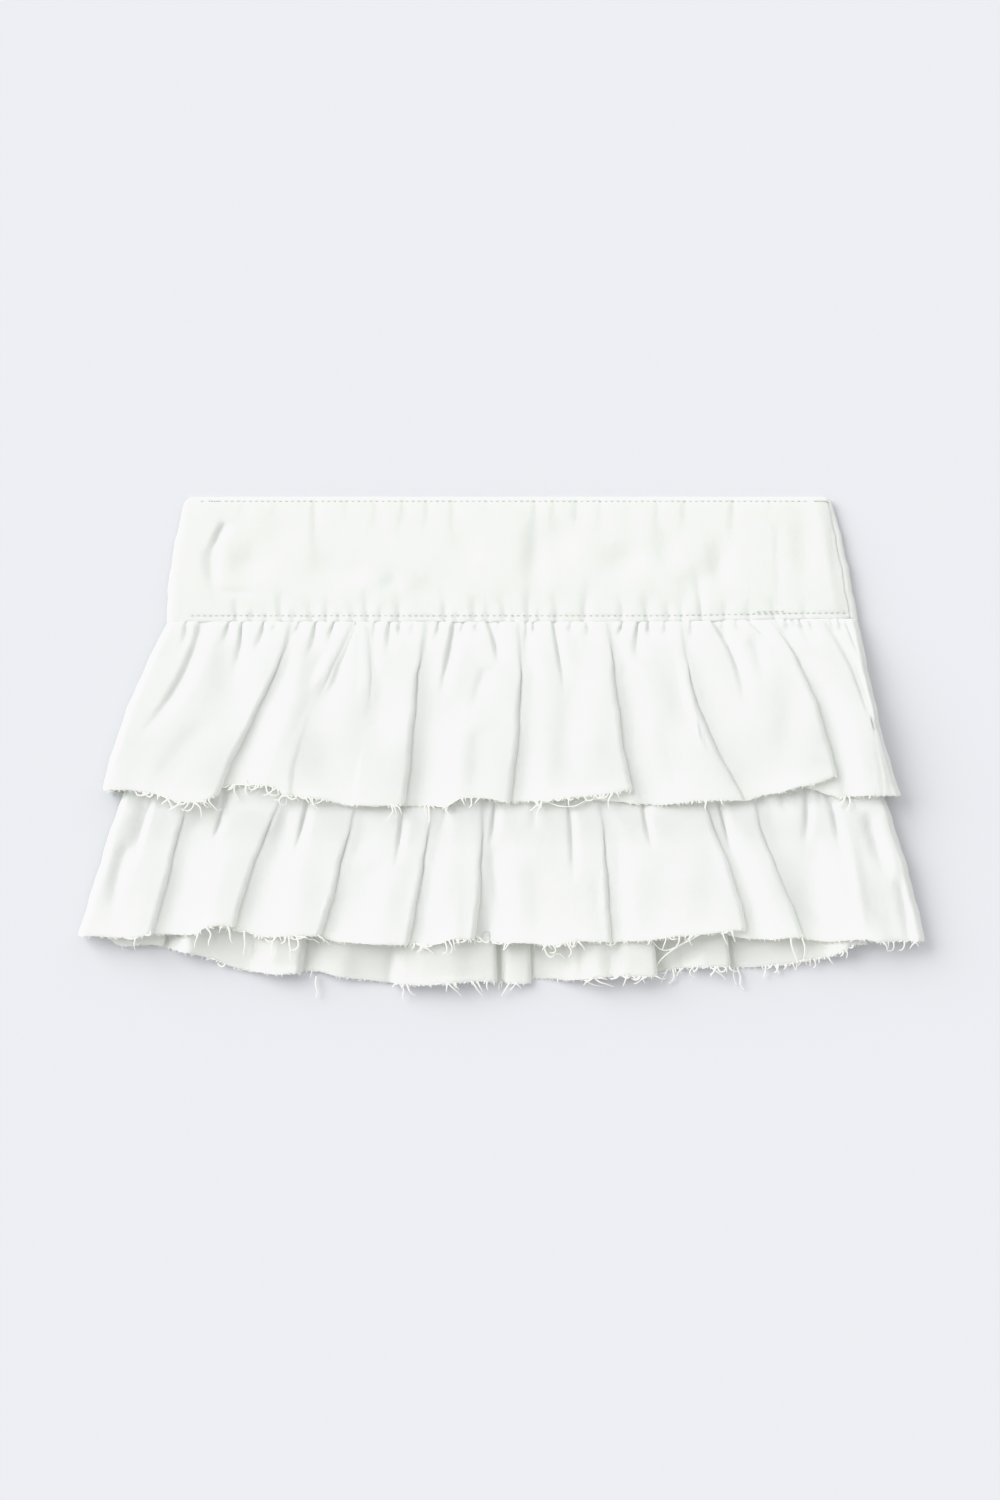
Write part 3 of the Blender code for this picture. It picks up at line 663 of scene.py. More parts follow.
@dataclass
class Grid:
    """The middle of a piece of cloth, as rows of points.

    Attributes:
        points: rows by columns by three, in mm; rows run down and columns to the right.
        half: half of the wall, for each row and column.
    """

    points: Array
    half: Array

    def faces_out(self) -> Array:
        """Unit normals of the upper side."""
        across = np.gradient(self.points, axis=1)
        down = np.gradient(self.points, axis=0)
        normal = np.cross(down, across)
        return normal / np.maximum(np.linalg.norm(normal, axis=2, keepdims=True), TINY)

    def arc(self, row: int) -> float:
        """The length of the cloth along a row, in mm."""
        return float(np.linalg.norm(np.diff(self.points[row], axis=0), axis=1).sum())

    def shell(self, name: str, material: bpy.types.Material) -> bpy.types.Object:
        """Makes the closed shell.

        Args:
            name: the object's name.
            material: its material.

        Returns:
            The object, with a UV map in metres of cloth.
        """
        rows, columns = self.points.shape[:2]
        offset = self.faces_out() * self.half[..., None]
        vertices = np.concatenate([self.points + offset, self.points - offset]).reshape(-1, 3)
        index = np.arange(rows * columns).reshape(rows, columns)
        under = index + rows * columns
        faces = [quads(index), quads(under)[:, ::-1]]
        rim = np.concatenate([index[0, :], index[1:, -1], index[-1, -2::-1], index[-2:0:-1, 0]])
        after = np.roll(rim, -1)
        size = rows * columns
        faces.append(np.stack([rim, after, after + size, rim + size], axis=1))
        steps = np.linalg.norm(np.diff(self.points, axis=1), axis=2).mean(axis=0)
        u = np.tile(np.concatenate([[0], np.cumsum(steps)]), (rows, 1))
        drops = np.linalg.norm(np.diff(self.points, axis=0), axis=2).mean(axis=1)
        v = np.tile(np.concatenate([[0], np.cumsum(drops)])[:, None], (1, columns))
        uv = np.tile(np.stack([u, v], axis=2).reshape(-1, 2), (2, 1)) * MM
        return mesh_object(name, vertices, np.concatenate(faces), material, uv)


def quads(index: Array) -> Array:
    """The faces between neighbouring rows and columns of vertex numbers, seen from above."""
    corners = (index[:-1, :-1], index[1:, :-1], index[1:, 1:], index[:-1, 1:])
    return np.stack([corner.ravel() for corner in corners], axis=1)


def mesh_object(
    name: str, vertices: Array, faces: Array, material: bpy.types.Material, uv: Optional[Array] = None
) -> bpy.types.Object:
    """Makes an object of four-sided faces.

    Args:
        name: its name.
        vertices: its points in mm.
        faces: four vertex numbers for each face.
        material: its material.
        uv: a UV place for each vertex.

    Returns:
        The object, in metres and smooth; nothing of it reaches below the surface that the skirt lies on.
    """
    mesh = bpy.data.meshes.new(name)
    above = np.column_stack([vertices[:, :2], np.maximum(vertices[:, 2], 0.0)])
    mesh.from_pydata((above * MM).tolist(), [], faces.tolist())
    if uv is not None:
        layer = mesh.uv_layers.new(name="cloth")
        corners = np.zeros(len(mesh.loops), int)
        mesh.loops.foreach_get("vertex_index", corners)
        layer.data.foreach_set("uv", uv[corners].astype(np.float32).ravel())
    mesh.materials.append(material)
    mesh.shade_smooth()
    mesh.set_sharp_from_angle(angle=RIM_ANGLE)
    made = bpy.data.objects.new(name, mesh)
    bpy.context.scene.collection.objects.link(made)
    return made


@dataclass(frozen=True)
class Cloth:
    """The CAD node that a piece of cloth stands for, and more that is kept with it.

    Attributes:
        node: the CAD node that the piece stands for.
        flat: the cut's width and length in metres; not used.
        held: how the piece is held; not used.
        rests_on: the CAD nodes or pieces that it lies on; not used.
        slot: the record's slot for its finish; not used.
    """

    node: str
    flat: tuple[float, float]
    held: Held
    rests_on: tuple[str, ...]
    slot: Slot = Slot.DENIM

    def declare(self, piece: bpy.types.Object) -> None:
        """Hangs the piece on the body's empty, hides its CAD part, and reports it."""
        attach(piece, BODY)
        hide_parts(self.node)
        report(piece)


def report(piece: bpy.types.Object) -> None:
    """Writes a piece's name, triangles and size to the log."""
    triangles = sum(len(face.vertices) - 2 for face in piece.data.polygons)
    size = " x ".join(f"{1000 * side:.1f}" for side in piece.dimensions)
    log.info("%s: %d triangles, %s mm", piece.name, triangles, size)


# Ruffles

FADES_FROM, FADES_OVER = 0.5, 0.4  # of a fold's reach: from where it fades, and over how long
LAP_FROM = 0.08  # how far down a fold starts to lap
SINKS_UNTIL = 0.7  # how far down it has its full sink
DEEPEST_DIP = 0.85  # the share of the loft that gathers, creases and dents may take
ROW_EASE = 0.45  # how much closer the rows lie at the seam and at the hem
RAGGED = (0.28, 3.2, 1e9, 9)  # a raw hem's own waves: their height, their lengths and how many
RAGGED_SEEDS = 999  # how many different ones there can be
RAGGED_FROM, RAGGED_OVER = 0.9, 0.1  # from how far down they show, and over how long
WAVES_FROM = 0.1  # how far down the low waves are there in full
SEAM_PULL, SEAM_PULL_RUN = 0.7, 1.2  # how far the sewing pulls the cloth down, and over what length
LEAST_COLUMNS = 5  # of a panel
HEM_FROM = 0.5  # how far down the hem's own lifts begin to count
PRESSED_FROM = 0.08  # how far down a pressed panel lies flat
SEAM_RUN, MOST_RUN = 2.5, 0.7  # how far a panel takes to rise at the seam, and at most, of its width
RAISED_FROM, RAISED_OVER = 0.5, 0.3  # how far down it starts to rise again, and over how long


@dataclass(frozen=True)
class Side:
    """x of a line at a ruffle's seam, a third and two thirds of the way down, and at the hem."""

    seam: float
    third: float
    two_thirds: float
    hem: float

    @property
    def known(self) -> tuple[float, float, float, float]:
        """x of the line at each of the thirds."""
        return self.seam, self.third, self.two_thirds, self.hem

    def x_at(self, down: float) -> float:
        """x of the line that share of the way down: it wavers, as the edge of folded cloth does."""
        straight = float(through(THIRDS, self.known, down))
        waver = sum(size * math.sin(waves * down + self.seam) for waves, size in RIPPLES)
        return straight + waver * math.sqrt(math.sin(math.pi * min(max(down, 0.0), 1.0)))

    def slack(self, down: float) -> float:
        """The share of the small detail that the cloth takes on the line: none at a silhouette."""
        return 0.0


@dataclass(frozen=True)
class Fold(Side):
    """A crease where the cloth on its left lies over the cloth on its right.

    Attributes:
        lap: how far the cloth runs back under its left neighbour at the hem.
        left_y: the hem's y on its left.
        right_y: the hem's y on its right.
        reach: the share of the way down at which it fades.
        sink: how far below the crease the cloth on its right starts at the hem.
        run: how far to the right that cloth has risen again.
        sink_at_seam: the sink at the seam.
        faded: the share of the sink that is left where the fold has faded.
    """

    lap: float
    left_y: float
    right_y: float
    reach: float = 1.0
    sink: float = 3.0
    run: float = 10.0
    sink_at_seam: float = 0.9
    faded: float = 0.08

    def strength(self, down: float) -> float:
        """1 where it is a full fold, 0 where it has faded to a soft trough."""
        if self.reach >= 1:
            return 1.0
        return float(1 - smooth((down - FADES_FROM * self.reach) / (FADES_OVER * self.reach)))

    def slack(self, down: float) -> float:
        """The share of the small detail that the cloth takes on the crease: all where it has faded."""
        return 1 - self.strength(down)

    def lap_at(self, down: float) -> float:
        """How far the cloth runs back under its left neighbour there."""
        return self.lap * float(smooth((down - LAP_FROM) / (1 - LAP_FROM))) * self.strength(down)

    def sink_at(self, down: float) -> float:
        """How far below the crease the cloth on its right starts there."""
        full = mix(self.sink_at_seam, self.sink, float(smooth(down / SINKS_UNTIL)))
        return full * mix(self.faded, 1.0, self.strength(down))


@dataclass(frozen=True)
class HemPoint:
    """A point of the hem between two folds, and the share of the ruffle's loft that it rises."""

    x: float
    y: float
    lift: float = 1.0


@dataclass(frozen=True)
class Level:
    """Heights at a share of the way down: of the folds' floor, and of the panels above that floor."""

    down: float
    floor: float
    loft: float


@dataclass(frozen=True)
class FoldShape:
    """The sizes of a fold's own section, the same on every ruffle.

    Attributes:
        roll: how far left of a closed crease the panel starts to roll over.
        drop: the share of the fold's height that the panel has gone down at the crease.
        foot: how far right of it the panel below starts.
        step: the share of the fold's sink that this panel makes up where it starts.
        settle: the length over which it goes down the rest, where the fold's run is full_run.
        full_run: a wide fold's run.
        layer: between the middles of two layers of cloth.
        open_roll: what an open crease adds to the roll.
        open_foot: what an open crease adds to the foot.
        side_run: what a ruffle's side takes of its outermost panel.
        narrow: the share of a panel's width that a fold's foot or a side may take at most.
        pressed_run: how far left of a lap a pressed panel starts to climb over it.
        pressed_loft: the height of three pressed layers.
        edge_drop: how much of a layer a closed crease's edge lies below its top.
        edge_back: how far it turns back there.
        lap_turn: the size of the turn at the end of its lap.
        open_crease: an open crease's edge: x past the closed one's, and the share of the way down.
        open_lap: the same past the end of its lap.
        spare: how much higher than its sink a fold is.
        closed_height: the height above which a fold starts to close.
        closed_over: how much more height closes it.
        closed_lap: the lap that closes it.
        apart: between a panel's own columns and those of a fold.
        flat_run: how far left of its roll, past the lap, a pressed panel is up.
        most_gap: the share of a fold's height that two of its layers may lie apart.
        most_drop: how far the panel has gone down at the crease at most.
        mid_roll: the middle of the roll, as shares of its width and of that drop.
        side_top: how far inside its edge a side meets the panel.
        side_foot: how far inside its edge a side starts.
        side_rise: how high above its start a side is at its edge.
        side_upright: the share of the panel's height up to which it stays there.
        detail: the share of the small detail that the cloth takes beside a fold or a side.
    """

    roll: float = 2.9
    drop: float = 0.32
    foot: float = 1.0
    step: float = 0.58
    settle: float = 5.5
    full_run: float = 30.0
    layer: float = 1.55
    open_roll: float = 0.7
    open_foot: float = 1.9
    side_run: float = 4.2
    narrow: float = 0.38
    pressed_run: float = 6.0
    pressed_loft: float = 3.2
    edge_drop: float = 0.25
    edge_back: float = 0.1
    lap_turn: float = 0.35
    open_crease: tuple[Point, ...] = ((-0.6, 0.1), (0.3, 0.4))
    open_lap: tuple[Point, ...] = ((1.2, 0.75), (1.95, 0.97))
    spare: float = 0.5
    closed_height: float = 2.4
    closed_over: float = 0.5
    closed_lap: float = 2.5
    apart: float = 0.8
    flat_run: float = 1.0
    most_gap: float = 0.485
    most_drop: float = 1.2
    mid_roll: Point = (0.5, 0.35)
    side_top: float = 3.0
    side_foot: float = 1.6
    side_rise: float = 1.4
    side_upright: float = 0.65
    detail: float = 0.3


@dataclass(frozen=True)
class Ruffle:
    """One half of a gathered tier.

    Attributes:
        piece: the object's name.
        cloth: its CAD node, and more that is kept with it.
        finish: its finish.
        seam_y: y of its seam.
        left: its left silhouette.
        right: its right silhouette.
        side_floor: z of its lowest edge at the sides.
        folds: its folds from left to right.
        hem: its hem between the folds.
        levels: its heights on the way down.
        fall: what its panels do between the folds.
        gathers: its short creases at the seam.
        creases: its longer soft creases.
        dents: its soft hollows.
        curls: where its hem turns up.
        unevenness: its low waves.
        rows: how many rows of points it has.
        spacing: the distance between its columns' control points.
        samples: how many columns there are for each of them.
        wall: how thick the cloth is.
        thin_edge: how far from the raw hem it thins out.
        edge_wall: the share of the wall that is left there.
    """

    piece: str
    cloth: Cloth
    finish: DenimFinish
    seam_y: float
    left: Side
    right: Side
    side_floor: float
    folds: tuple[Fold, ...]
    hem: tuple[HemPoint, ...]
    levels: tuple[Level, ...]
    fall: Fall
    gathers: tuple[Gather, ...] = ()
    creases: tuple[Crease, ...] = ()
    dents: tuple[Dent, ...] = ()
    curls: tuple[Dent, ...] = ()
    unevenness: Unevenness = Unevenness(1)
    shape: FoldShape = FoldShape()
    rows: int = 62
    spacing: float = 4.6
    samples: int = 4
    wall: float = 1.0
    thin_edge: float = 2.5
    edge_wall: float = 0.3

    @property
    def fan(self) -> float:
        """How much wider the hem is than the seam."""
        return (self.right.hem - self.left.hem) / (self.right.seam - self.left.seam) - 1

    def floor_at(self, down: Array) -> Array:
        """z of the folds' floor."""
        return flowing([level.down for level in self.levels], [level.floor for level in self.levels], down)

    def loft_at(self, down: Array) -> Array:
        """Height of the panels above that floor."""
        return flowing([level.down for level in self.levels], [level.loft for level in self.levels], down)

    def looseness(self, fold: Fold, down: float) -> float:
        """How far a fold stands open: fully where it has no height or lap to turn in, or has faded."""
        shape = self.shape
        height = self.loft_at(down) if self.fall is Fall.PRESSED else fold.sink_at(down) + shape.spare
        tall = float(smooth((height - shape.closed_height) / shape.closed_over))
        deep = float(smooth(fold.lap_at(down) / shape.closed_lap))
        return 1 - min(tall, deep, fold.strength(down))

    def roll(self, fold: Fold, down: float) -> float:
        """How far left of a crease the panel starts to roll over."""
        return self.shape.roll + self.shape.open_roll * self.looseness(fold, down)

    def foot(self, fold: Fold, down: float) -> float:
        """How far right of a crease the panel below leaves the fold's floor."""
        return self.shape.foot + self.shape.open_foot * self.looseness(fold, down)

    def panels(self) -> list["Panel"]:
        """The cloth between the folds, from left to right."""
        lines = (self.left, *self.folds, self.right)
        return [Panel(self, start, end) for start, end in zip(lines, lines[1:])]

    def side_points(self, panel: "Panel", down: float, at_left: bool) -> list[tuple[float, float]]:
        """The ruffle's own side as (x, z), from where it meets the other half up to the panel."""
        edge = (self.left if at_left else self.right).x_at(down)
        inward = 1 if at_left else -1
        inner = edge + inward * self.shape.side_top
        top = float(panel.height(np.array([inner]), down)[0])
        if self.fall is Fall.PRESSED:
            points = [(edge, float(self.floor_at(down))), (inner, top)]
        else:
            points = [
                (edge + inward * self.shape.side_foot, self.side_floor),
                (edge, self.side_floor + self.shape.side_rise),
                (edge, mix(self.side_floor, top, self.shape.side_upright)),
                (inner, top),
            ]
        return points if at_left else points[::-1]

    def fold_points(self, left: "Panel", right: "Panel", down: float) -> list[tuple[float, float, float]]:
        """The cloth's way round a fold, as (x, z, share of the way from the left hem to the right one)."""
        fold, shape = left.end, self.shape
        crease, lap = fold.x_at(down), fold.lap_at(down)
        loose = self.looseness(fold, down)
        floor = float(right.height(np.array([right.clear(down)[0]]), down)[0])
        top = float(left.height(np.array([left.clear(down)[1]]), down)[0])
        points = []
        if self.fall is Fall.PRESSED:
            points.append((crease - lap - shape.pressed_run, top, 0.0))
            top = max(top, floor + min(float(self.loft_at(down)), shape.pressed_loft))
            points.append((crease - lap - shape.flat_run - self.roll(fold, down), top, 0.0))
        gap = min(shape.layer, shape.most_gap * (top - floor))
        crest, top = top, top - min(shape.most_drop, shape.drop * (top - floor)) * (1 - loose)
        closed = [(0.0, top - shape.edge_drop * gap), (-shape.edge_back, top - gap), (-lap, floor + gap),
                  (shape.lap_turn - lap, floor)]
        opened = [(x, mix(top, floor, share)) for x, share in shape.open_crease]
        opened += [(x - lap, mix(top, floor, share)) for x, share in shape.open_lap]
        roll, (half, sunk) = self.roll(fold, down), shape.mid_roll
        points += [(crease - roll, crest, 0.0), (crease - half * roll, mix(crest, top, sunk), 0.0)]
        for (x, z), (open_x, open_z), way in zip(closed, opened, (0.0, 0.0, 0.5, 0.5)):
            points.append((crease + mix(x, open_x, loose), mix(z, open_z, loose), way))
        return [*points, (right.clear(down)[0] - shape.apart, floor, 1.0)]

    def control_row(self, panels: list["Panel"], down: float) -> Array:
        """Control points across the ruffle: x, the hem's y there, z, and how much small detail it takes."""
        last, detail = panels[-1], self.shape.detail
        left_y, right_y = float(panels[0].hem_y(0.0)), float(last.hem_y(1.0))
        rows = [(x, left_y, z, detail) for x, z in self.side_points(panels[0], down, True)]
        for number, panel in enumerate(panels):
            shares = np.linspace(0, 1, panel.columns)
            x = mix(*panel.clear(down), shares)
            free = np.where((shares > 0) & (shares < 1), 1.0, detail)
            free[0], free[-1] = max(detail, panel.start.slack(down)), max(detail, panel.end.slack(down))
            rows += list(zip(x, panel.hem_y(shares), panel.height(x, down), free))
            fold = panel.end
            if isinstance(fold, Fold):
                for place, z, way in self.fold_points(panel, panels[number + 1], down):
                    rows.append((place, mix(fold.left_y, fold.right_y, way), z, fold.slack(down)))
        rows += [(x, right_y, z, detail) for x, z in self.side_points(last, down, False)]
        return np.array(rows, float)

    def dip(self, x: Array, down: Array) -> Array:
        """How far the gathers, creases and dents lower the cloth, never through the folds' floor."""
        total = np.zeros_like(x)
        for gather in self.gathers:
            total += gather.dip(x, down, self.fan)
        for mark in (*self.creases, *self.dents):
            total += mark.dip(x, down)
        return np.minimum(total, DEEPEST_DIP * self.loft_at(down))

    def grid(self) -> Grid:
        """The middle of the cloth."""
        even = np.linspace(0, 1, self.rows)
        downs = mix(even, smooth(even), ROW_EASE)
        panels = self.panels()
        control = np.stack([self.control_row(panels, float(down)) for down in downs])
        weights = spline_weights(control.shape[1], self.samples)
        x, hem_y, z, free = np.einsum("mn,rnk->krm", weights, control)
        down = np.repeat(downs[:, None], x.shape[1], axis=1)
        seam = self.seam_y + seam_rise(x) - SEAM_GAP
        chance = random.Random(self.piece)
        ragged = Unevenness(chance.randrange(RAGGED_SEEDS), *RAGGED).rise(x, hem_y)
        hem_y = hem_y + ragged * smooth((down - RAGGED_FROM) / RAGGED_OVER)
        y = mix(seam, hem_y, down)
        z = z - free * self.dip(x, down)
        z = z + free * self.unevenness.rise(x, y) * smooth(down / WAVES_FROM)
        z = z - SEAM_PULL * np.exp(-(((seam - y) / SEAM_PULL_RUN) ** 2)) * free
        to_hem = y - hem_y
        for curl in self.curls:
            lifted = -curl.dip(x, 0 * x) * np.exp(-((to_hem / curl.along) ** 2))
            z = z + free * lifted
        points = np.stack([x, y, z], axis=2)
        half = self.wall / 2 * mix(self.edge_wall, 1.0, np.sqrt(np.clip(to_hem / self.thin_edge, 0, 1)))
        return Grid(points, half)

    def build(self) -> Grid:
        """Makes the piece.

        Returns:
            Its middle, which the raw hem's threads are rooted in.
        """
        grid = self.grid()
        self.cloth.declare(grid.shell(self.piece, self.finish.material()))
        log.info("%s: seam %.0f mm and hem %.0f mm of cloth", self.piece, grid.arc(0), grid.arc(-1))
        return grid


class Panel:
    """The cloth between two folds, or between a fold and the ruffle's side."""

    def __init__(self, ruffle: Ruffle, start: Side, end: Side) -> None:
        """Finds the panel's hem.

        Args:
            ruffle: the ruffle that it is in.
            start: the line on its left.
            end: the line on its right.
        """
        self.ruffle, self.start, self.end = ruffle, start, end
        inside = [point for point in ruffle.hem if start.hem < point.x < end.hem]
        start_y = start.right_y if isinstance(start, Fold) else None
        end_y = end.left_y if isinstance(end, Fold) else None
        nominal = start_y if start_y is not None else end_y
        if start_y is None:
            start_y = inside[0].y if inside else nominal
        if end_y is None:
            end_y = inside[-1].y if inside else nominal
        flat = 0.0 if ruffle.fall is Fall.PRESSED else 1.0
        first = HemPoint(start.hem, start_y, inside[0].lift if inside else flat)
        last = HemPoint(end.hem, end_y, inside[-1].lift if inside else flat)
        self.hem = [first, *inside, last]
        self.columns = max(LEAST_COLUMNS, round((end.hem - start.hem) / ruffle.spacing))

    def clear(self, down: float) -> tuple[float, float]:
        """x of the stretch that neither the folds nor the side take."""
        ruffle, shape = self.ruffle, self.ruffle.shape
        left, right = self.start.x_at(down), self.end.x_at(down)
        most = shape.narrow * (right - left)
        if isinstance(self.start, Fold):
            left += min(ruffle.foot(self.start, down) + shape.apart, most)
        else:
            left += min(shape.side_run, most)
        if not isinstance(self.end, Fold):
            return left, right - min(shape.side_run, most)
        if ruffle.fall is Fall.PRESSED:
            return left, right - self.end.lap_at(down) - shape.pressed_run - shape.apart
        return left, right - ruffle.roll(self.end, down) - shape.apart

    def hem_y(self, share: Array) -> Array:
        """y of the hem that share of the way across the panel."""
        place = mix(*self.clear(1.0), np.asarray(share, float))
        return eased([point.x for point in self.hem], [point.y for point in self.hem], place)

    def height(self, x: Array, down: float) -> Array:
        """z of the middle of the cloth at x, without its small creases."""
        ruffle = self.ruffle
        left, right = self.start.x_at(down), self.end.x_at(down)
        low, high = self.clear(down)
        place = mix(*self.clear(1.0), (x - low) / (high - low))
        lift = eased([point.x for point in self.hem], [point.lift for point in self.hem], place)
        rise = mix(1.0, lift, smooth((down - HEM_FROM) / (1 - HEM_FROM)))
        if ruffle.fall is Fall.PRESSED:
            raised = smooth((down - RAISED_FROM) / RAISED_OVER) * rise
            rise = np.maximum(1 - smooth(down / PRESSED_FROM), raised)
        sunk = 0.0
        if isinstance(self.start, Fold):
            fold, shape = self.start, ruffle.shape
            beyond = x - low + shape.apart
            run = mix(SEAM_RUN, min(fold.run, MOST_RUN * (right - left)), smooth(2 * down))
            climbed = smooth(beyond / run)
            if ruffle.fall is Fall.PRESSED:
                rise = rise * climbed
            else:
                settle = mix(1.0, shape.settle * run / shape.full_run, smooth(2 * down))
                step = shape.step * np.exp(-np.maximum(beyond, 0) / settle)
                sunk = fold.sink_at(down) * (1 - step) * (1 - climbed)
        return ruffle.floor_at(down) + np.maximum(ruffle.loft_at(down) * rise - sunk, 0.0)


UPPER_FRONT = Ruffle(
    piece="upper_tier_front",
    cloth=Cloth("upper_ruffle_front", (0.71, 0.106), Held.GATHERED, ("base_front", "lower_ruffle_front")),
    finish=DENIM,
    seam_y=YOKE_SEAM_Y,
    left=Side(-193.4, -209.1, -221.9, -231.1),
    right=Side(206.2, 213.4, 221.0, 231.7),
    side_floor=2.1,
    folds=(
        Fold(-123.8, -133.1, -149.4, -163.8, 12, -30.7, -24.9, sink=4.2, run=44, sink_at_seam=1.4),
        Fold(-87.4, -102.4, -116.9, -122.7, 3, -30.5, -30.5, 0.5, 2.0, 10),
        Fold(-80.0, -76.9, -80.9, -86.7, 3, -36.2, -36.2, 0.55, 1.8, 7),
        Fold(-45.0, -49.0, -52.2, -56.0, 14, -35.4, -36.5, sink=4.6, run=32),
        Fold(7.8, 10.7, 9.0, 4.9, 10, -34.2, -34.2, sink=3.2, run=22),
        Fold(60.0, 65.3, 69.3, 76.0, 34, -27.3, -35.4, sink=4.6, run=30),
        Fold(103.5, 109.3, 122.1, 140.7, 10, -33.1, -33.6, sink=2.4, run=27),
        Fold(154.6, 174.3, 185.9, 194.3, 19, -19.7, -31.9, sink=5.4, run=32),
        Fold(184.8, 203.4, 214.0, 219.0, 3, -30.7, -30.7, 0.66, 2.8, 9, 1.6),
    ),
    hem=table(
        HemPoint,
        (-215.5, -27.3, 0.9), (-204.0, -29.0), (-185.3, -34.2), (-174.9, -34.8), (-146.0, -24.4, 0.9),
        (-134.3, -24.9), (-106.0, -32.5, 0.8), (-70.0, -36.5), (-31.6, -36.5, 0.8), (-24.0, -32.0),
        (-12.5, -31.9), (22.3, -33.6, 0.8), (51.3, -30.7), (91.9, -36.0, 0.8), (115.1, -33.6),
        (155.7, -29.6, 0.8), (176.0, -25.0), (205.0, -30.7, 0.9), (214.0, -30.7, 0.85),
        (221.0, -30.7, 0.8), (229.5, -30.7, 0.45),
    ),
    levels=table(
        Level,
        (0, 6.9, 1.9), (0.15, 8.0, 3.4), (0.42, 10.0, 4.5), (0.7, 11.9, 4.4), (1, 11.8, 4.2),
    ),
    fall=Fall.LOFTED,
    gathers=table(
        Gather,
        (-183.0, 0.18, 1.3, 4.0), (-158.0, 0.15), (-150.5, 0.34, 1.7, 5.0), (-137.8, 0.2),
        (-131.0, 0.1, 1.0), (-117.5, 0.12), (-107.6, 0.24), (-97.2, 0.15), (-73.4, 0.15), (-64.7, 0.2),
        (-58.9, 0.12), (-51.0, 0.1, 1.0), (-36.8, 0.14), (-22.3, 0.12), (-14.5, 0.1, 1.0),
        (-1.5, 0.1, 1.0), (14.2, 0.2), (18.3, 0.12), (40.0, 0.1, 1.0), (49.5, 0.12, 1.0),
        (69.9, 0.12, 1.6, -4.0), (79.2, 0.24, 1.7, -5.0), (85.0, 0.12), (94.5, 0.1, 1.0), (109.3, 0.14),
        (127.9, 0.14), (136.0, 0.1, 1.0), (159.2, 0.14, 1.8), (164.4, 0.12, 1.8), (168.6, 0.09, 1.5),
        (172.6, 0.17, 1.9, 3.0), (178.9, 0.14, 1.8), (190.4, 0.1, 1.5), (195.0, 0.12, 1.6),
        (203.0, 0.1, 1.3),
    ),
    creases=table(
        Crease,
        ((0.0, -174.3), (0.35, -186.5), (0.72, -213.0), 1.9, 2.2, 6.0),
        ((0.0, -27.6), (0.18, -31.0), (0.42, -36.5), 1.9),
        ((0.0, -8.4), (0.13, -3.9), (0.25, -2.4), 1.9),
        ((0.24, -8.5), (0.36, -12.5), (0.52, -16.5), 0.8, 3.0, 6.0),
        ((0.0, 29.9), (0.17, 32.5), (0.4, 36.6), 1.6, 1.0, 3.5),
        ((0.0, 122.1), (0.2, 133.0), (0.52, 140.0), 2.0),
        ((0.05, 144.5), (0.24, 149.0), (0.4, 152.8), 0.7, 3.0, 5.0),
        ((0.0, 143.0), (0.08, 150.0), (0.16, 159.0), 1.5, 1.2, 3.0),
        ((0.0, 199.2), (0.1, 203.0), (0.26, 210.5), 1.6),
        ((0.5, -165.0), (0.8, -190.0), (1.05, -199.0), 0.7, 7.0, 9.0),
        ((0.55, -12.0), (0.8, -14.0), (1.1, -19.0), 0.9, 7.0, 8.0),
        ((0.5, 33.0), (0.8, 38.0), (1.1, 41.0), 0.6, 8.0, 9.0),
        ((0.45, 92.0), (0.8, 99.0), (1.1, 107.0), 0.8, 6.0, 9.0),
    ),
    dents=table(
        Dent,
        (-100.0, 0.82, 1.1, 14.0, 0.2), (166.0, 0.62, 0.9, 9.0, 0.25), (-72.0, 0.5, 1.5, 13.0, 0.2),
        (-104.0, 0.4, 2.0, 15.0, 0.26), (104.0, 0.5, 1.6, 14.0, 0.26), (-158.0, 0.3, 1.2, 12.0, 0.25),
        (-20.0, 0.45, 1.2, 13.0, 0.25), (40.0, 0.55, 1.2, 12.0, 0.3),
    ),
    curls=table(
        Dent,
        (-180.0, 0.0, -0.8, 14.0, 4.0), (-108.0, 0.0, -1.0, 10.0, 4.5), (45.0, 0.0, -0.9, 25.0, 4.0),
        (170.0, 0.0, -1.1, 16.0, 5.0),
    ),
    unevenness=Unevenness(11, 0.16),
)

UPPER_BACK = Ruffle(
    piece="upper_tier_back",
    cloth=Cloth("upper_ruffle_back", (0.6, 0.103), Held.GATHERED, ("floor",)),
    finish=DENIM,
    seam_y=YOKE_SEAM_Y,
    left=Side(-191.4, -207.1, -219.9, -229.1),
    right=Side(204.2, 211.4, 219.0, 229.7),
    side_floor=0.6,
    folds=(
        Fold(-146.0, -155.0, -165.0, -174.0, 9, -29.0, -31.0),
        Fold(-96.0, -104.0, -112.0, -119.0, 8, -31.0, -30.0),
        Fold(-48.0, -52.0, -57.0, -61.0, 10, -30.0, -32.0),
        Fold(-2.0, -1.0, 1.0, 3.0, 8, -32.0, -31.0),
        Fold(52.0, 56.0, 62.0, 67.0, 9, -30.0, -32.0),
        Fold(103.0, 109.0, 116.0, 122.0, 8, -31.0, -30.0),
        Fold(150.0, 158.0, 167.0, 176.0, 10, -29.0, -30.0),
    ),
    hem=(),
    levels=table(Level, (0, 0.6, 1.9), (0.12, 0.6, 2.0), (0.22, 0.6, 3.2), (1, 0.6, 3.2)),
    fall=Fall.PRESSED,
    gathers=tuple(
        Gather(x, 0.08)
        for x in (
            -176.0, -162.0, -128.0, -112.0, -78.0, -65.0, -31.0, -17.0, 16.0, 34.0, 71.0, 86.0, 119.0,
            134.0, 169.0, 186.0,
        )
    ),
    unevenness=Unevenness(12, 0.0),
    rows=30,
    spacing=7.0,
    samples=3,
)

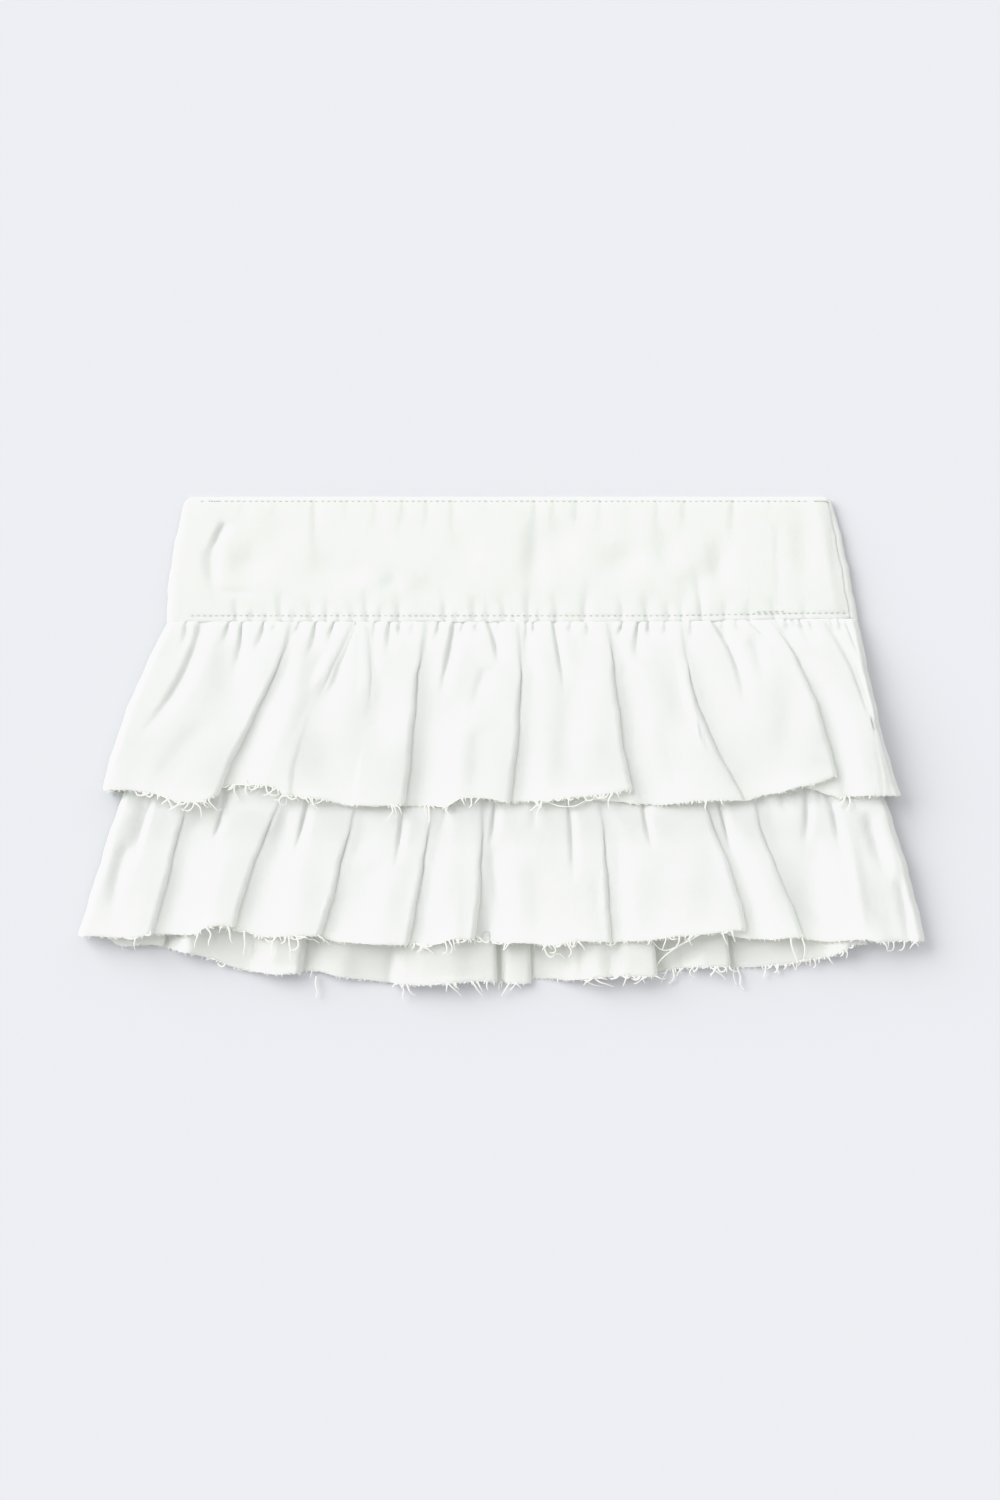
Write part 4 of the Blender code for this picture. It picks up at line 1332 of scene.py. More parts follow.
LOWER_FRONT = Ruffle(
    piece="lower_tier_front",
    cloth=Cloth("lower_ruffle_front", (0.67, 0.095), Held.GATHERED, ("lower_ruffle_back",)),
    # A brighter copy of the denim: painted light.
    finish=LOWER_DENIM_PAINTED_LIGHT,
    seam_y=TIER_SEAM_Y,
    left=Side(-216.0, -226.8, -236.1, -245.6),
    right=Side(217.8, 228.8, 238.1, 245.6),
    side_floor=2.1,
    folds=(
        Fold(-180.0, -187.1, -194.3, -202.7, 10, -110.8, -110.8, sink=4.4, run=30, sink_at_seam=1.8),
        Fold(-125.6, -135.7, -146.5, -154.3, 10, -106.7, -107.9, sink=3.9, run=30),
        Fold(-80.9, -89.0, -96.0, -105.3, 6, -111.9, -112.5, sink=2.9, run=21),
        Fold(-40.9, -43.2, -47.9, -54.5, 6, -117.2, -116.6, sink=2.5, run=18),
        Fold(-11.9, -11.9, -12.5, -16.0, 4, -114.3, -114.8, sink=2.9, run=21, sink_at_seam=1.4),
        Fold(52.5, 58.6, 61.5, 63.5, 6, -115.4, -115.4, sink=2.3, run=15),
        Fold(110.5, 123.3, 134.3, 141.8, 12, -108.5, -113.7, sink=4.7, run=32, sink_at_seam=1.6),
        Fold(143.0, 150.5, 162.7, 174.9, 8, -112.5, -113.7, sink=4.2, run=40, sink_at_seam=2.2),
    ),
    hem=table(
        HemPoint,
        (-238.1, -111.9, 0.85), (-224.0, -112.6, 0.8), (-212.0, -113.1), (-177.8, -111.4, 0.9),
        (-171.0, -106.1), (-162.5, -106.1), (-138.9, -112.5, 0.8), (-116.9, -111.9),
        (-96.6, -115.4, 0.7), (-70.0, -116.8), (-38.0, -117.2, 0.7), (-28.7, -113.7),
        (-1.5, -116.0, 0.5), (14.0, -116.0, 0.8), (31.0, -117.7, 0.9), (42.6, -114.8),
        (80.3, -114.8, 0.85), (109.3, -111.4), (155.0, -114.0, 0.8), (188.2, -115.4, 0.6),
        (212.0, -113.7), (217.0, -116.0), (229.0, -115.0, 0.5),
    ),
    levels=table(
        Level,
        (0, 8.8, 1.8), (0.14, 8.8, 1.9), (0.21, 8.2, 3.1), (0.4, 6.0, 4.8), (0.7, 5.9, 6.2),
        (1, 6.5, 6.2),
    ),
    fall=Fall.LOFTED,
    gathers=table(
        Gather,
        (-192.0, 0.15), (-143.0, 0.15), (-98.0, 0.15), (-69.0, 0.15), (-32.2, 0.36, 1.7), (7.0, 0.15),
        (17.7, 0.36, 1.7), (29.0, 0.15), (68.0, 0.2), (95.0, 0.2), (129.6, 0.24, 1.6, 2.0),
        (158.6, 0.28, 1.8, 3.0), (166.0, 0.15), (181.0, 0.2), (198.0, 0.2),
    ),
    creases=table(
        Crease,
        ((0.0, -200.0), (0.34, -208.7), (0.62, -216.0), 2.6, 6.5, 1.4),
        ((0.36, -215.5), (0.62, -222.4), (0.92, -226.0), 1.8, 4.5, 4.0),
        ((0.0, -160.0), (0.28, -163.9), (0.4, -167.6), 2.0, 1.2, 3.5),
        ((0.0, -110.5), (0.28, -115.5), (0.52, -121.5), 2.0, 1.2, 3.5),
        ((0.0, -56.6), (0.3, -58.6), (0.56, -62.2), 1.7, 1.2, 3.0),
        ((0.0, -4.0), (0.25, -5.2), (0.45, -8.6), 2.0, 1.0, 3.0),
        ((0.38, -7.8), (0.6, -3.8), (0.84, -0.6), 1.0, 4.0, 6.0),
        ((0.0, 37.0), (0.34, 40.2), (0.66, 41.0), 1.6, 1.2, 3.0),
        ((0.0, 81.0), (0.28, 83.5), (0.46, 88.0), 1.7, 1.2, 3.0),
        ((0.0, 122.0), (0.25, 128.0), (0.5, 134.2), 2.2, 1.0, 3.0),
        ((0.0, 173.6), (0.22, 176.6), (0.44, 174.0), 1.9, 1.3, 3.0),
        ((0.0, 184.0), (0.24, 192.3), (0.46, 195.0), 1.9, 1.3, 3.5),
        ((0.28, 199.5), (0.65, 206.2), (1.2, 211.5), -1.0, 4.0, 4.0),
        ((0.18, 211.0), (0.42, 217.2), (0.66, 225.5), 2.0, 4.0, 4.0),
        ((0.1, 218.5), (0.5, 227.0), (0.74, 232.0), -0.8, 3.0, 3.0),
        ((0.56, 229.5), (0.8, 234.0), (1.2, 239.0), 1.6, 3.0, 2.5),
        ((0.4, -70.0), (0.8, -80.0), (1.2, -84.0), 1.0, 8.0, 8.0),
        ((0.45, 18.0), (0.8, 22.0), (1.2, 24.0), 0.7, 8.0, 9.0),
    ),
    dents=table(
        Dent,
        (-172.6, 0.2, 1.6, 9.0, 0.12), (-12.0, 0.93, 1.2, 9.0, 0.12), (57.0, 0.69, 0.8, 5.0, 0.16),
        (-126.0, 0.3, 1.2, 7.0, 0.2), (182.0, 0.62, 1.4, 10.0, 0.3),
    ),
    curls=table(
        Dent,
        (-170.0, 0.0, -1.2, 10.0, 5.0), (-30.0, 0.0, -0.8, 8.0, 4.0), (28.0, 0.0, -0.7, 10.0, 4.0),
        (104.0, 0.0, -1.0, 22.0, 4.0), (215.0, 0.0, -0.8, 9.0, 4.0),
    ),
    unevenness=Unevenness(13, 0.16),
)

LOWER_BACK = Ruffle(
    piece="lower_tier_back",
    cloth=Cloth("lower_ruffle_back", (0.62, 0.118), Held.GATHERED, ("floor",), Slot.INSIDE_WITH_PAINTED_SHADE),
    # The inside's colour holds painted shade.
    finish=INSIDE_WITH_PAINTED_SHADE,
    seam_y=TIER_SEAM_Y,
    left=Side(-211.5, -222.0, -230.5, -237.5),
    right=Side(213.3, 224.3, 231.0, 236.5),
    side_floor=0.6,
    folds=(
        Fold(-176.0, -183.0, -190.0, -196.0, 5, -117.2, -119.0),
        Fold(-100.0, -106.0, -112.0, -118.0, 3, -134.0, -132.5, 0.75, run=14),
        Fold(-6.0, -5.5, -4.0, -2.5, 3, -138.6, -138.6, run=10),
        Fold(15.0, 15.8, 16.5, 17.1, 9, -139.8, -136.9, run=24),
        Fold(78.0, 82.0, 86.5, 90.2, 9, -135.7, -132.8, run=20),
        Fold(118.0, 123.0, 128.5, 133.1, 8, -130.2, -130.5, run=24),
        Fold(182.0, 192.0, 203.0, 213.0, 5, -117.0, -113.0),
    ),
    hem=table(
        HemPoint,
        (-233.5, -110.5, 0.4), (-220.7, -118.3, 0.45), (-207.4, -117.2, 0.5), (-201.0, -118.3, 0.25),
        (-191.7, -120.1, 0.75), (-183.0, -121.8, 1), (-176.6, -123.0, 0.6), (-170.8, -124.7, 0.31),
        (-154.6, -130.5, 0.22), (-146.5, -132.8, 0.22), (-138.9, -133.4, 0.6), (-131.4, -134.6, 0.75),
        (-105.3, -132.8, 0.34), (-93.7, -136.3, 0.45), (-82.1, -137.5, 0.22), (-64.7, -139.2, 0.16),
        (-57.7, -140.4, 0.6), (-44.4, -140.9, 0.8), (-29.9, -139.8, 0.8), (-16.0, -138.6, 0.6),
        (1.5, -138.6, 0.55), (5.5, -138.6, 0.8), (10.7, -139.2, 0.9), (27.6, -136.9, 0.19),
        (36.8, -138.0, 0.34), (46.7, -137.5, 0.75), (57.1, -136.3, 0.95), (64.1, -135.7, 0.7),
        (74.5, -135.1, 0.9), (100.6, -131.7, 0.22), (110.0, -130.5, 0.35), (119.0, -129.9, 0.6),
        (141.2, -130.5, 0.19), (163.8, -129.3, 0.22), (176.0, -126.4, 0.28), (188.2, -124.7, 0.35),
        (199.2, -121.2, 0.8), (205.6, -118.9, 0.8), (225.0, -109.0, 0.4),
    ),
    levels=table(
        Level,
        (0, 5.3, 1.8), (0.14, 5.3, 1.9), (0.24, 0.6, 3.2), (0.5, 0.6, 3.4), (0.8, 0.6, 8.6),
        (1, 0.6, 8.8),
    ),
    fall=Fall.PRESSED,
    creases=table(
        Crease,
        ((0.72, -184.0), (0.9, -186.5), (1.3, -187.5), 1.4, 2.5, 3.0),
        ((0.76, -62.0), (0.92, -64.0), (1.3, -65.0), 0.9, 3.0, 4.0),
        ((0.76, 45.0), (0.92, 46.0), (1.3, 47.0), 0.9, 2.5, 3.5),
        ((0.76, 103.0), (0.92, 105.0), (1.3, 106.0), 0.9, 3.0, 4.0),
        ((0.76, 172.0), (0.92, 176.0), (1.3, 178.0), 1.2, 3.0, 5.0),
    ),
    curls=table(
        Dent,
        (-176.0, 0.0, -1.3, 10.0, 4.0), (-124.0, 0.0, -1.0, 14.0, 3.5), (-30.0, 0.0, -0.8, 18.0, 3.5),
        (66.0, 0.0, -1.0, 12.0, 4.0), (112.0, 0.0, -0.6, 10.0, 3.0), (196.0, 0.0, -0.8, 14.0, 4.0),
    ),
    unevenness=Unevenness(14, 0.0),
)


# Yoke and base


@dataclass(frozen=True)
class Yoke:
    """The deep plain hip yoke, front and back, with its sewing.

    Attributes:
        left: its left silhouette.
        right: its right silhouette.
        wall: how thick it is, cut double.
        low: z of the front's middle at the waist.
        high: the same at the seam.
        turn_under: how far the front runs under on the left.
        strip: how far the back reaches past its turn to the side seam.
        corner: the radius of its upper corners.
        columns: how many columns the front's upper side has.
        rows: how many rows it has.
        turn_steps: how many points a turn round the side has.
        edge_round: how far from its upper edge it thins to a rounded edge.
        puckers: the short creases above the lower seam.
        tucks: the short creases below the upper stitches.
        dents: its soft hollows, in x and y.
        folds: its longer soft creases, in y and x.
        unevenness: its low waves.
        stitch_rows: how far the two rows of stitches are from the waist's edge and above the seam.
        stitch_groove: how deep the stitches pull the cloth in.
        droop: how far the front falls towards the side seam on the right.
        droop_run: how far from that seam the fall starts.
        swell: how far the front swells in its middle.
        ripple: how high the long ripples on that are.
        ripples: how many half ripples there are.
        stitch_pull: how much more each stitch pulls the cloth in than the stretch between two.
        groove_width: the half width of that groove.
        edge_fall: how far the cloth falls at its upper and lower edge.
        edge_wall: the share of the wall that is left at the upper edge.
        row_ease: how much closer the rows lie at both edges.
        turn_rest: between the turn round a side and the flat stretch beside it.
        under_columns: how many columns the stretch under the left side has.
        relief_run: how far from the left turn the relief is there in full.
        climb: how much sooner than the seam the front is at its height there.
    """

    left: Side = Side(-183.9, -188.8, -192.3, -193.4)
    right: Side = Side(191.7, 197.5, 202.1, 206.2)
    wall: float = 1.8
    low: float = 4.6
    high: float = 6.8
    turn_under: float = 10.0
    strip: float = 0.7
    corner: float = 5.0
    columns: int = 300
    rows: int = 62
    turn_steps: int = 12
    edge_round: float = 1.2
    puckers: tuple[Gather, ...] = ()
    tucks: tuple[Gather, ...] = ()
    dents: tuple[Dent, ...] = ()
    folds: tuple[Crease, ...] = ()
    unevenness: Unevenness = Unevenness(21, 0.12, 40.0, 60.0)
    stitch_rows: Point = (2.3, 3.6)
    stitch_groove: float = 0.25
    droop: float = 1.3
    droop_run: float = 9.0
    swell: float = 0.55
    ripple: float = 0.15
    ripples: int = 9
    stitch_pull: float = 0.35
    groove_width: float = 0.9
    edge_fall: float = 0.3
    edge_wall: float = 0.45
    row_ease: float = 0.6
    turn_rest: float = 1.5
    under_columns: int = 4
    relief_run: float = 12.0
    climb: float = 1.2

    def top_at(self, down: float) -> float:
        """z of the front's middle, that share of the way from waist to seam."""
        return float(mix(self.low, self.high, smooth(self.climb * down)))

    def corner_drop(self, x: Array) -> Array:
        """How far the waist's edge falls at its rounded corners."""
        reach = np.minimum(x - self.left.seam, self.right.seam - x)
        inside = np.clip(self.corner - reach, 0, self.corner)
        return self.corner - np.sqrt(np.maximum(0.0, self.corner**2 - inside**2))

    def upper_edge(self, x: Array) -> Array:
        """y of the waist's edge at x."""
        return WAIST_Y - self.corner_drop(np.clip(x, self.left.seam, self.right.seam))

    def turn(self, edge: float, inward: int, radius: float) -> list[tuple[float, float]]:
        """The half circle by which the yoke goes round its side, from the surface up, as (x, z)."""
        floor = self.wall / 2
        points = []
        for step in range(1, self.turn_steps):
            angle = math.pi * step / self.turn_steps
            x = edge + inward * radius * (1 - math.sin(angle))
            points.append((x, floor + radius * (1 - math.cos(angle))))
        return points

    def relief(self, x: Array, y: Array, down: Array) -> Array:
        """How far the front's upper side stands above its plain form."""
        share = np.clip((x - self.left.seam) / (self.right.seam - self.left.seam), 0, 1)
        ripple = self.ripple * np.sin(self.ripples * math.pi * share)
        swell = np.sin(math.pi * share) * (self.swell + ripple)
        total = swell + self.unevenness.rise(x, y)
        for pucker in self.puckers:
            total -= pucker.dip(x, 1 - down, 0.0)
        for tuck in self.tucks:
            total -= tuck.dip(x, down, 0.0)
        for mark in (*self.dents, *self.folds):
            total -= mark.dip(x, y)
        from_waist, from_seam = self.upper_edge(x) - y, y - YOKE_SEAM_Y - seam_rise(x)
        for distance, row in ((from_waist, self.stitch_rows[0]), (from_seam, self.stitch_rows[1])):
            pull = 1 + self.stitch_pull * np.cos(2 * math.pi * x / Topstitching.pitch)
            total -= self.stitch_groove * pull * np.exp(-(((distance - row) / self.groove_width) ** 2))
        total -= self.edge_fall * np.exp(-(from_waist**2)) + self.edge_fall * np.exp(-(from_seam**2))
        to_side = self.side_seam(down) - x
        return total - self.droop * (1 - smooth(to_side / self.droop_run))

    def side_seam(self, down: Array) -> Array:
        """x of the side seam on the right."""
        top = mix(self.low, self.high, smooth(self.climb * down))
        return through(THIRDS, self.right.known, down) - (top - self.wall / 2) / 2 - self.strip

    def rows_of(self, section: Callable[[float], Array]) -> Grid:
        """Builds a half's middle from its section.

        Args:
            section: gives x, z and the share of relief for each column, that share of the way down.

        Returns:
            The grid.
        """
        even = np.linspace(0, 1, self.rows)
        downs = mix(even, smooth(even), self.row_ease)
        lines = np.stack([section(float(down)) for down in downs])
        x, z, free = lines[..., 0], lines[..., 1], lines[..., 2]
        down = np.repeat(downs[:, None], x.shape[1], axis=1)
        y = mix(self.upper_edge(x), YOKE_SEAM_Y + seam_rise(x), down)
        z = z + free * self.relief(x, y, down)
        to_edge = self.upper_edge(x) - y
        half = self.wall / 2 * mix(self.edge_wall, 1.0, np.sqrt(np.clip(to_edge / self.edge_round, 0, 1)))
        return Grid(np.stack([x, y, z], axis=2), half)

    def front_section(self, down: float) -> Array:
        """The front: from under the left side, round its edge, and across to the side seam on the right."""
        left, right, top = self.left.x_at(down), self.right.x_at(down), self.top_at(down)
        radius = (top - self.wall / 2) / 2
        start, end = left + radius + self.turn_rest, right - radius - self.strip - SEAM_GAP
        under = np.linspace(left + self.turn_under, start, self.under_columns)
        points = [(x, self.wall / 2, 0.0) for x in under]
        points += [(x, z, 0.0) for x, z in self.turn(left, 1, radius)]
        for x in np.linspace(start, end, self.columns):
            points.append((x, top, float(smooth((x - start) / self.relief_run))))
        return np.array(points)

    def back_section(self, down: float) -> Array:
        """The back: flat on the surface, then round the right side up to the side seam."""
        left, right, top = self.left.x_at(down), self.right.x_at(down), self.top_at(down)
        radius = (top - self.wall / 2) / 2
        start, end = left + self.turn_under + SEAM_GAP, right - radius - self.turn_rest
        points = [(x, self.wall / 2, 0.0) for x in np.linspace(start, end, self.columns // 3)]
        points += [(x, z, 0.0) for x, z in self.turn(right, -1, radius)]
        points += [(right - radius, top, 0.0), (right - radius - self.strip, top, 0.0)]
        section = np.array(points)
        section[:, 1] -= self.droop * np.clip((section[:, 1] - self.wall) / (top - self.wall), 0, 1)
        return section

    def build(self) -> None:
        """Makes the front, the back and their stitches."""
        front = self.rows_of(self.front_section)
        # The yoke's darker copy of the denim: painted shade.
        material = YOKE_DENIM_PAINTED_SHADE.material()
        over = Cloth("yoke_front", (0.41, 0.073), Held.LAID, ("yoke_back",))
        over.declare(front.shell("hip_yoke_front", material))
        back = self.rows_of(self.back_section)
        under = Cloth("yoke_back", (0.41, 0.073), Held.LAID, ("floor",))
        under.declare(back.shell("hip_yoke_back", material))
        Topstitching(self, front).build()


@dataclass(frozen=True)
class Topstitching:
    """Rows of stitches along the yoke's edges, one joined mesh.

    Attributes:
        yoke: the yoke that they are on.
        front: the middle of its front.
        pitch: from one stitch to the next.
        length: a stitch's own length.
        thickness: the thread's thickness.
        sides: how many sides the thread has.
        upper_ends: how far inside the yoke's upper corners the upper row starts and ends.
        lower_ends: the same for the lower row.
        double: x where a short second row starts and ends.
        double_gap: how far above the lower row that one runs.
        tacks: x where the upper row starts and ends in tighter stitches, whose thread is painted darker grey
            as shade.
        tack_pitch: from one of those to the next.
        tack_length: the share of that which the stitch takes.
        form: a stitch's section: the share of its length, that of its thickness, and its height.
        keep_off: how much further away the columns on the front's underside count.
    """

    yoke: Yoke
    front: Grid
    pitch: float = 3.5
    length: float = 2.0
    thickness: float = 0.55
    sides: int = 6
    upper_ends: Point = (9.0, 4.0)
    lower_ends: Point = (13.0, 7.0)
    double: Point = (148.0, 163.0)
    double_gap: float = 1.3
    tacks: tuple[Point, ...] = ((-170.0, -163.5), (181.5, 190.0))
    tack_pitch: float = 1.5
    tack_length: float = 0.55
    form: tuple[tuple[float, float, float], ...] = (
        (0.0, 0.15, -0.35), (0.12, 0.75, -0.02), (0.35, 1.0, 0.12),
        (0.65, 1.0, 0.12), (0.88, 0.75, -0.02), (1.0, 0.15, -0.35),
    )
    keep_off: float = 9.0

    def surface(self, x: float, y: float) -> Vector:
        """The point of the front's upper side above that place."""
        points = self.front.points
        row = int(np.argmin(np.abs(points[:, points.shape[1] // 2, 1] - y)))
        under = points[row, :, 2] < self.yoke.low - 1
        column = int(np.argmin(np.abs(points[row, :, 0] - x) + self.keep_off * under))
        return Vector((x, y, float(points[row, column, 2]) + self.yoke.wall / 2))

    def stitch(self, start: Vector, end: Vector) -> tuple[Array, Array]:
        """One stitch between two points: a short thread that dives into the cloth at both ends."""
        shares, width, lift = np.array(self.form).T
        path = np.array([start.lerp(end, share) for share in shares])
        path[:, 2] += lift
        return tube(path, width * self.thickness / 2, self.sides)

    def upper_row(self, x: float) -> float:
        """y of the upper row at x."""
        return float(self.yoke.upper_edge(np.array([x]))[0]) - self.yoke.stitch_rows[0]

    def lower_row(self, x: float) -> float:
        """y of the lower row at x."""
        return YOKE_SEAM_Y + self.yoke.stitch_rows[1] + float(seam_rise(np.array([x]))[0])

    def second_row(self, x: float) -> float:
        """y of the short row above the lower one."""
        return self.lower_row(x) + self.double_gap

    def line(
        self, starts: Sequence[float], row: Callable[[float], float], length: float
    ) -> list[tuple[Array, Array]]:
        """Stitches along a row.

        Args:
            starts: x where each of them starts.
            row: gives the row's y at x.
            length: their length.

        Returns:
            Their meshes.
        """
        return [self.stitch(self.surface(x, row(x)), self.surface(x + length, row(x))) for x in starts]

    def build(self) -> None:
        """Makes the rows, and the tighter ends of the upper one; the thread is painted grey, and darker grey
        at the ends, as shade.
        """
        left, right = self.yoke.left, self.yoke.right
        upper = np.arange(left.seam + self.upper_ends[0], right.seam - self.upper_ends[1], self.pitch)
        lower = np.arange(left.hem + self.lower_ends[0], right.hem - self.lower_ends[1], self.pitch)
        free = [x for x in upper if not any(start - self.pitch < x < end for start, end in self.tacks)]
        parts = self.line(free, self.upper_row, self.length)
        parts += self.line(lower, self.lower_row, self.length)
        parts += self.line(np.arange(*self.double, self.pitch), self.second_row, self.length)
        length, tacked = self.tack_length * self.tack_pitch, []
        for start, end in self.tacks:
            tacked += self.line(np.arange(start, end, self.tack_pitch), self.upper_row, length)
        # Both threads are painted grey as shade.
        for name, stitches, finish in (
            ("yoke_topstitching", parts, STITCH_PAINTED_SHADE),
            ("yoke_topstitching_ends", tacked, TACK_PAINTED_SHADE),
        ):
            piece = joined(name, stitches, finish.material())
            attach(piece, BODY)
            report(piece)


@dataclass(frozen=True)
class Base:
    """The plain skirt panels under the upper ruffle, cut like an A.

    Attributes:
        wall: how thick they are.
        left: x of their left edge at the yoke's seam and at the lower tier's.
        right: x of their right edge at both.
        heights: each panel's node, its (share of the way down, z), and what it lies on.
        flat: the cut's width and length in metres.
        rows: how many rows of points a panel has.
        columns: how many columns it has.
    """

    wall: float = 1.0
    left: Point = (-188.0, -211.0)
    right: Point = (199.0, 213.0)
    heights: tuple = (
        ("base_back", ((0.0, 3.7), (0.18, 5.1), (0.8, 5.2), (1.0, 5.6)), ("upper_ruffle_back",)),
        ("base_front", ((0.0, 5.2), (0.18, 6.6), (0.8, 7.4), (1.0, 8.6)), ("base_back",)),
    )
    flat: Point = (0.425, 0.093)
    rows: int = 24
    columns: int = 90

    def build(self) -> None:
        """Makes both panels."""
        for node, profile, under in self.heights:
            shares = np.linspace(0, 1, self.rows), np.linspace(0, 1, self.columns)
            down, share = np.meshgrid(*shares, indexing="ij")
            x = mix(mix(*self.left, down), mix(*self.right, down), share)
            y = mix(YOKE_SEAM_Y + seam_rise(x) - SEAM_GAP, TIER_SEAM_Y + seam_rise(x), down)
            z = np.interp(down, [place for place, _ in profile], [height for _, height in profile])
            grid = Grid(np.stack([x, y, z], axis=2), np.full(x.shape, self.wall / 2))
            cloth = Cloth(node, self.flat, Held.LAID, under)
            cloth.declare(grid.shell(f"{node}_panel", DENIM.material()))


# Threads


def tube(path: Array, radii: Array, sides: int) -> tuple[Array, Array]:
    """A closed tube along a path.

    Args:
        path: its points.
        radii: its radius at each.
        sides: how many sides it has.

    Returns:
        Its vertices and its four-sided faces.
    """
    along = np.gradient(path, axis=0)
    along /= np.maximum(np.linalg.norm(along, axis=1, keepdims=True), TINY)
    side = np.cross(along, (0.0, 0.0, 1.0))
    weak = np.linalg.norm(side, axis=1) < 1e-3
    side[weak] = (1.0, 0.0, 0.0)
    side /= np.linalg.norm(side, axis=1, keepdims=True)
    up = np.cross(side, along)
    angles = 2 * math.pi * np.arange(sides) / sides
    ring = np.cos(angles)[None, :, None] * side[:, None, :] + np.sin(angles)[None, :, None] * up[:, None, :]
    vertices = (path[:, None, :] + ring * radii[:, None, None]).reshape(-1, 3)
    index = np.arange(len(path) * sides).reshape(len(path), sides)
    after = np.roll(index, -1, axis=1)
    walls = np.stack([index[:-1], after[:-1], after[1:], index[1:]], axis=2).reshape(-1, 4)
    caps = [[row[0], row[i], row[i + 1], row[min(i + 2, sides - 1)]] for row in (index[0], index[-1])
            for i in range(1, sides - 2, 2)]
    return vertices, np.concatenate([walls, np.array(caps)])


def joined(
    name: str, parts: Sequence[tuple[Array, Array]], material: bpy.types.Material
) -> bpy.types.Object:
    """Joins small meshes into one object."""
    vertices, faces, count = [], [], 0
    for points, sides in parts:
        vertices.append(points)
        faces.append(sides + count)
        count += len(points)
    return mesh_object(name, np.concatenate(vertices), np.concatenate(faces), material)


class Ground:
    """How high the cloth lies at each place, for threads that lie on it."""

    CELL = 2.0
    REACH = 320.0

    def __init__(self, grids: Sequence[Grid]) -> None:
        """Reads the upper sides of pieces of cloth.

        Args:
            grids: the pieces.
        """
        cells = int(2 * self.REACH / self.CELL)
        self.tops = np.zeros((cells, cells))
        for grid in grids:
            points = grid.points.reshape(-1, 3)
            np.maximum.at(self.tops, self.cells(*points[:, :2].T), points[:, 2] + grid.half.ravel())

    def cells(self, x: Array, y: Array) -> tuple[Array, ...]:
        """The row and the column of the cell at each of those places."""
        return tuple(((np.asarray(place) + self.REACH) / self.CELL).astype(int) for place in (y, x))

    def at(self, x: Array, y: Array) -> Array:
        """z of what lies at those places."""
        return self.tops[self.cells(x, y)]


@dataclass(frozen=True)
class Tuft:
    """A stretch of raw hem with loose threads: where it is, how many, and the longest."""

    start: float
    end: float
    threads: int
    longest: float


